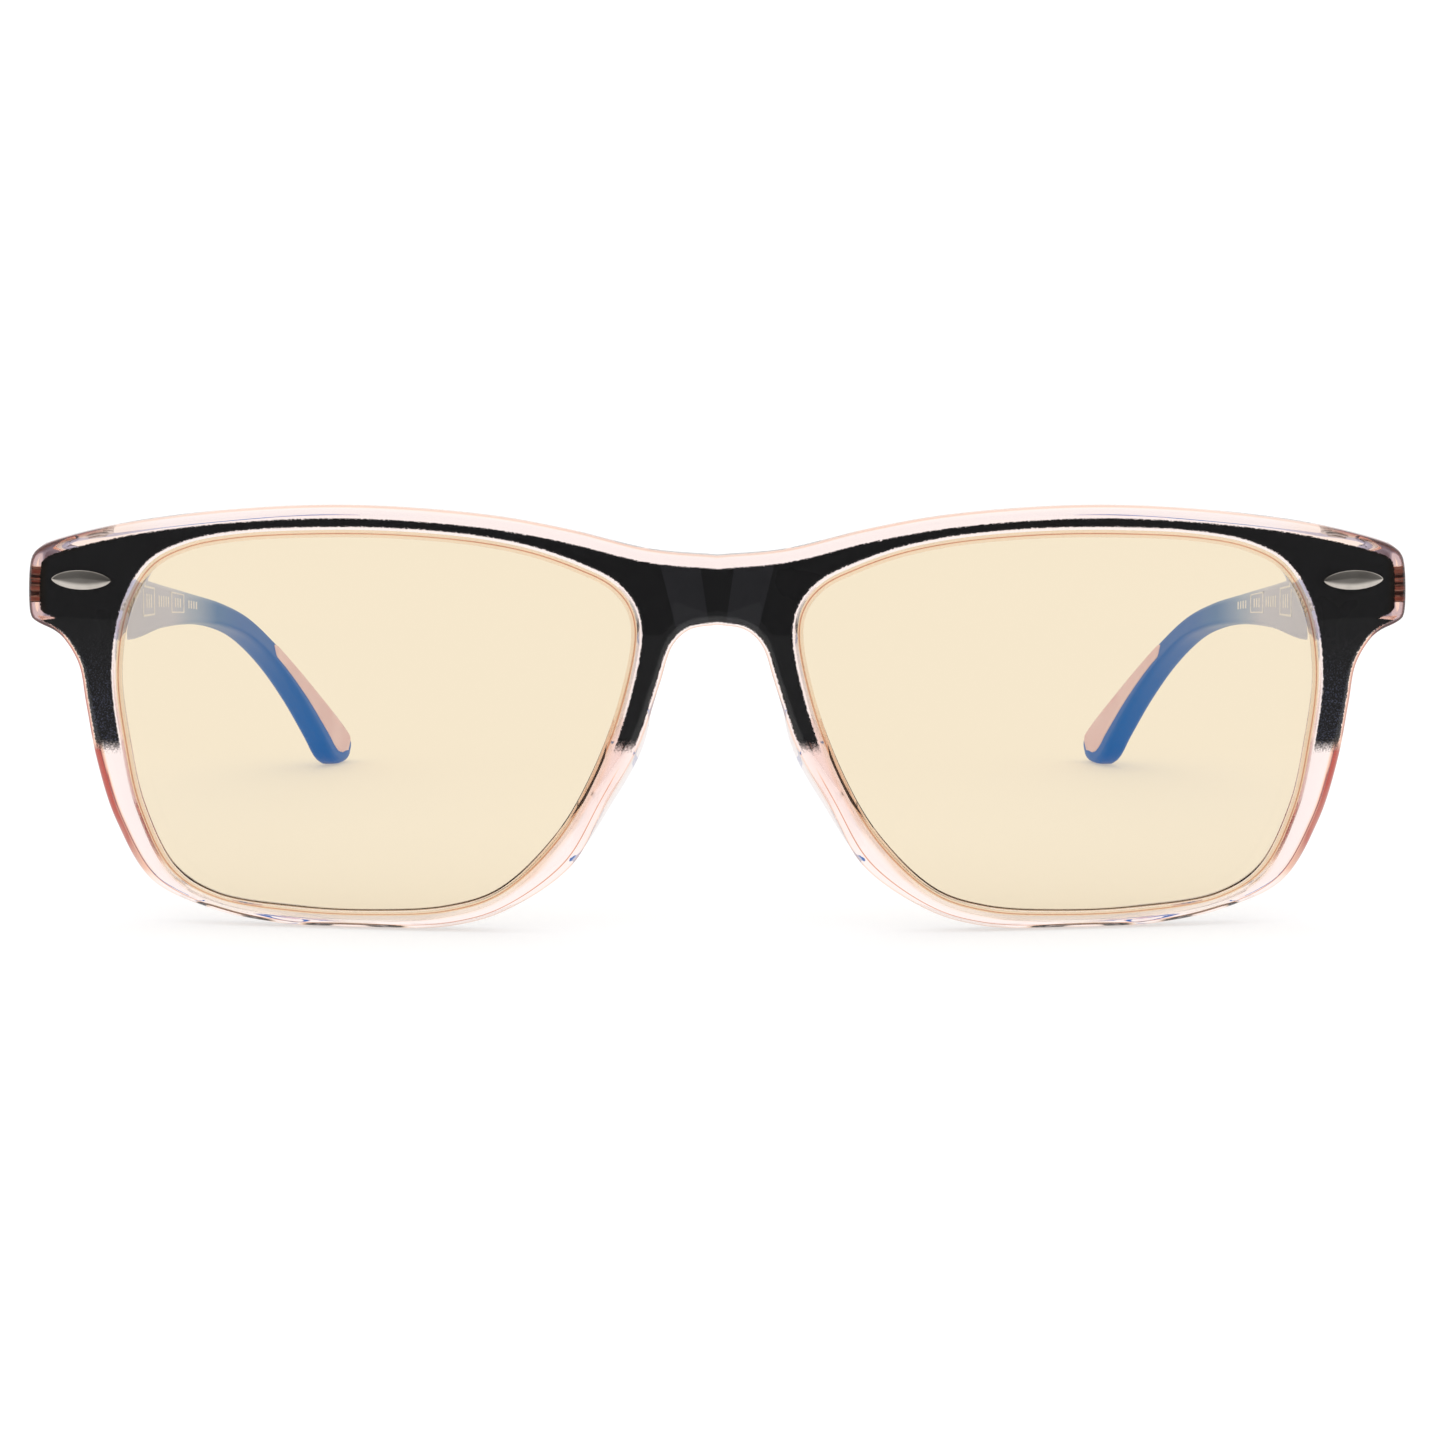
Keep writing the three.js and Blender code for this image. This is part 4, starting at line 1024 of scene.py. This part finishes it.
def make_world():
    """White surroundings for all that is lit or seen through; what is mirrored finds the room
    darker in front of the glasses, as a studio is behind its camera, and less so inside clear
    plastic."""
    world = bpy.data.worlds.new("studio")
    scene.world = world
    world.use_nodes = True
    tree = world.node_tree
    tree.nodes.clear()
    output = tree.nodes.new("ShaderNodeOutputWorld")
    direction = tree.nodes.new("ShaderNodeTexCoord").outputs["Generated"]
    back = share_between(tree, axes_of(tree, direction)["Y"], -1.0, 1.0)
    ray = tree.nodes.new("ShaderNodeLightPath")
    dark_room = ramp_node(tree, back, grey((0.0, 0.06), (0.4, 0.15), (0.58, 0.5), (0.74, 1)))
    pale_room = ramp_node(tree, back, [
        (0.0, (0.42, 0.38, 0.37)), (0.1, (0.72, 0.66, 0.65)), (0.35, (0.95, 0.93, 0.92)),
        (0.6, (1, 1, 1))])
    passed = math_node(tree, "MINIMUM", ray.outputs["Transmission Depth"], 1.0)
    room = new_node(tree, "ShaderNodeMix", {"data_type": "RGBA"}, Factor=passed)
    tree.links.new(dark_room, room.inputs[6])
    tree.links.new(pale_room, room.inputs[7])
    white = new_node(tree, "ShaderNodeBackground", Color=(1, 1, 1, 1), Strength=WHITE)
    mirrored = new_node(tree, "ShaderNodeBackground", Color=room.outputs[2], Strength=WHITE)
    shiny = math_node(tree, "MINIMUM", ray.outputs["Glossy Depth"], 1.0)
    mix = new_node(tree, "ShaderNodeMixShader", Fac=shiny)
    tree.links.new(white.outputs[0], mix.inputs[1])
    tree.links.new(mirrored.outputs[0], mix.inputs[2])
    fill_sockets(tree, output, Surface=mix.outputs[0])


def make_light(name, place, aim, size, power):
    """A soft square lamp that looks at a point."""
    lamp = bpy.data.lights.new(name, "AREA")
    lamp.shape = "RECTANGLE"
    lamp.size, lamp.size_y = size
    lamp.energy = power
    holder = bpy.data.objects.new(name, lamp)
    scene.collection.objects.link(holder)
    holder.location = place
    holder.rotation_euler = (Vector(aim) - Vector(place)).to_track_quat("-Z", "Y").to_euler()


def make_camera():
    """The camera in front, a little above, looking slightly down."""
    camera = bpy.data.cameras.new("camera")
    camera.sensor_width, camera.lens, camera.shift_x = SENSOR, FOCAL_LENGTH, SIDE_SHIFT
    camera.clip_start, camera.clip_end = 0.01, 50
    holder = bpy.data.objects.new("camera", camera)
    scene.collection.objects.link(holder)
    holder.location = (0, (CAMERA_AT - SHIFT) * MM, CAMERA_HEIGHT * MM)
    holder.rotation_euler = (math.radians(90 - CAMERA_DROP), 0, 0)
    scene.camera = holder


make_floor()
make_world()
make_light("overhead softbox", (0, 0.1, 0.75), (0, 0, 0), (0.9, 0.7), 0.25)
make_camera()
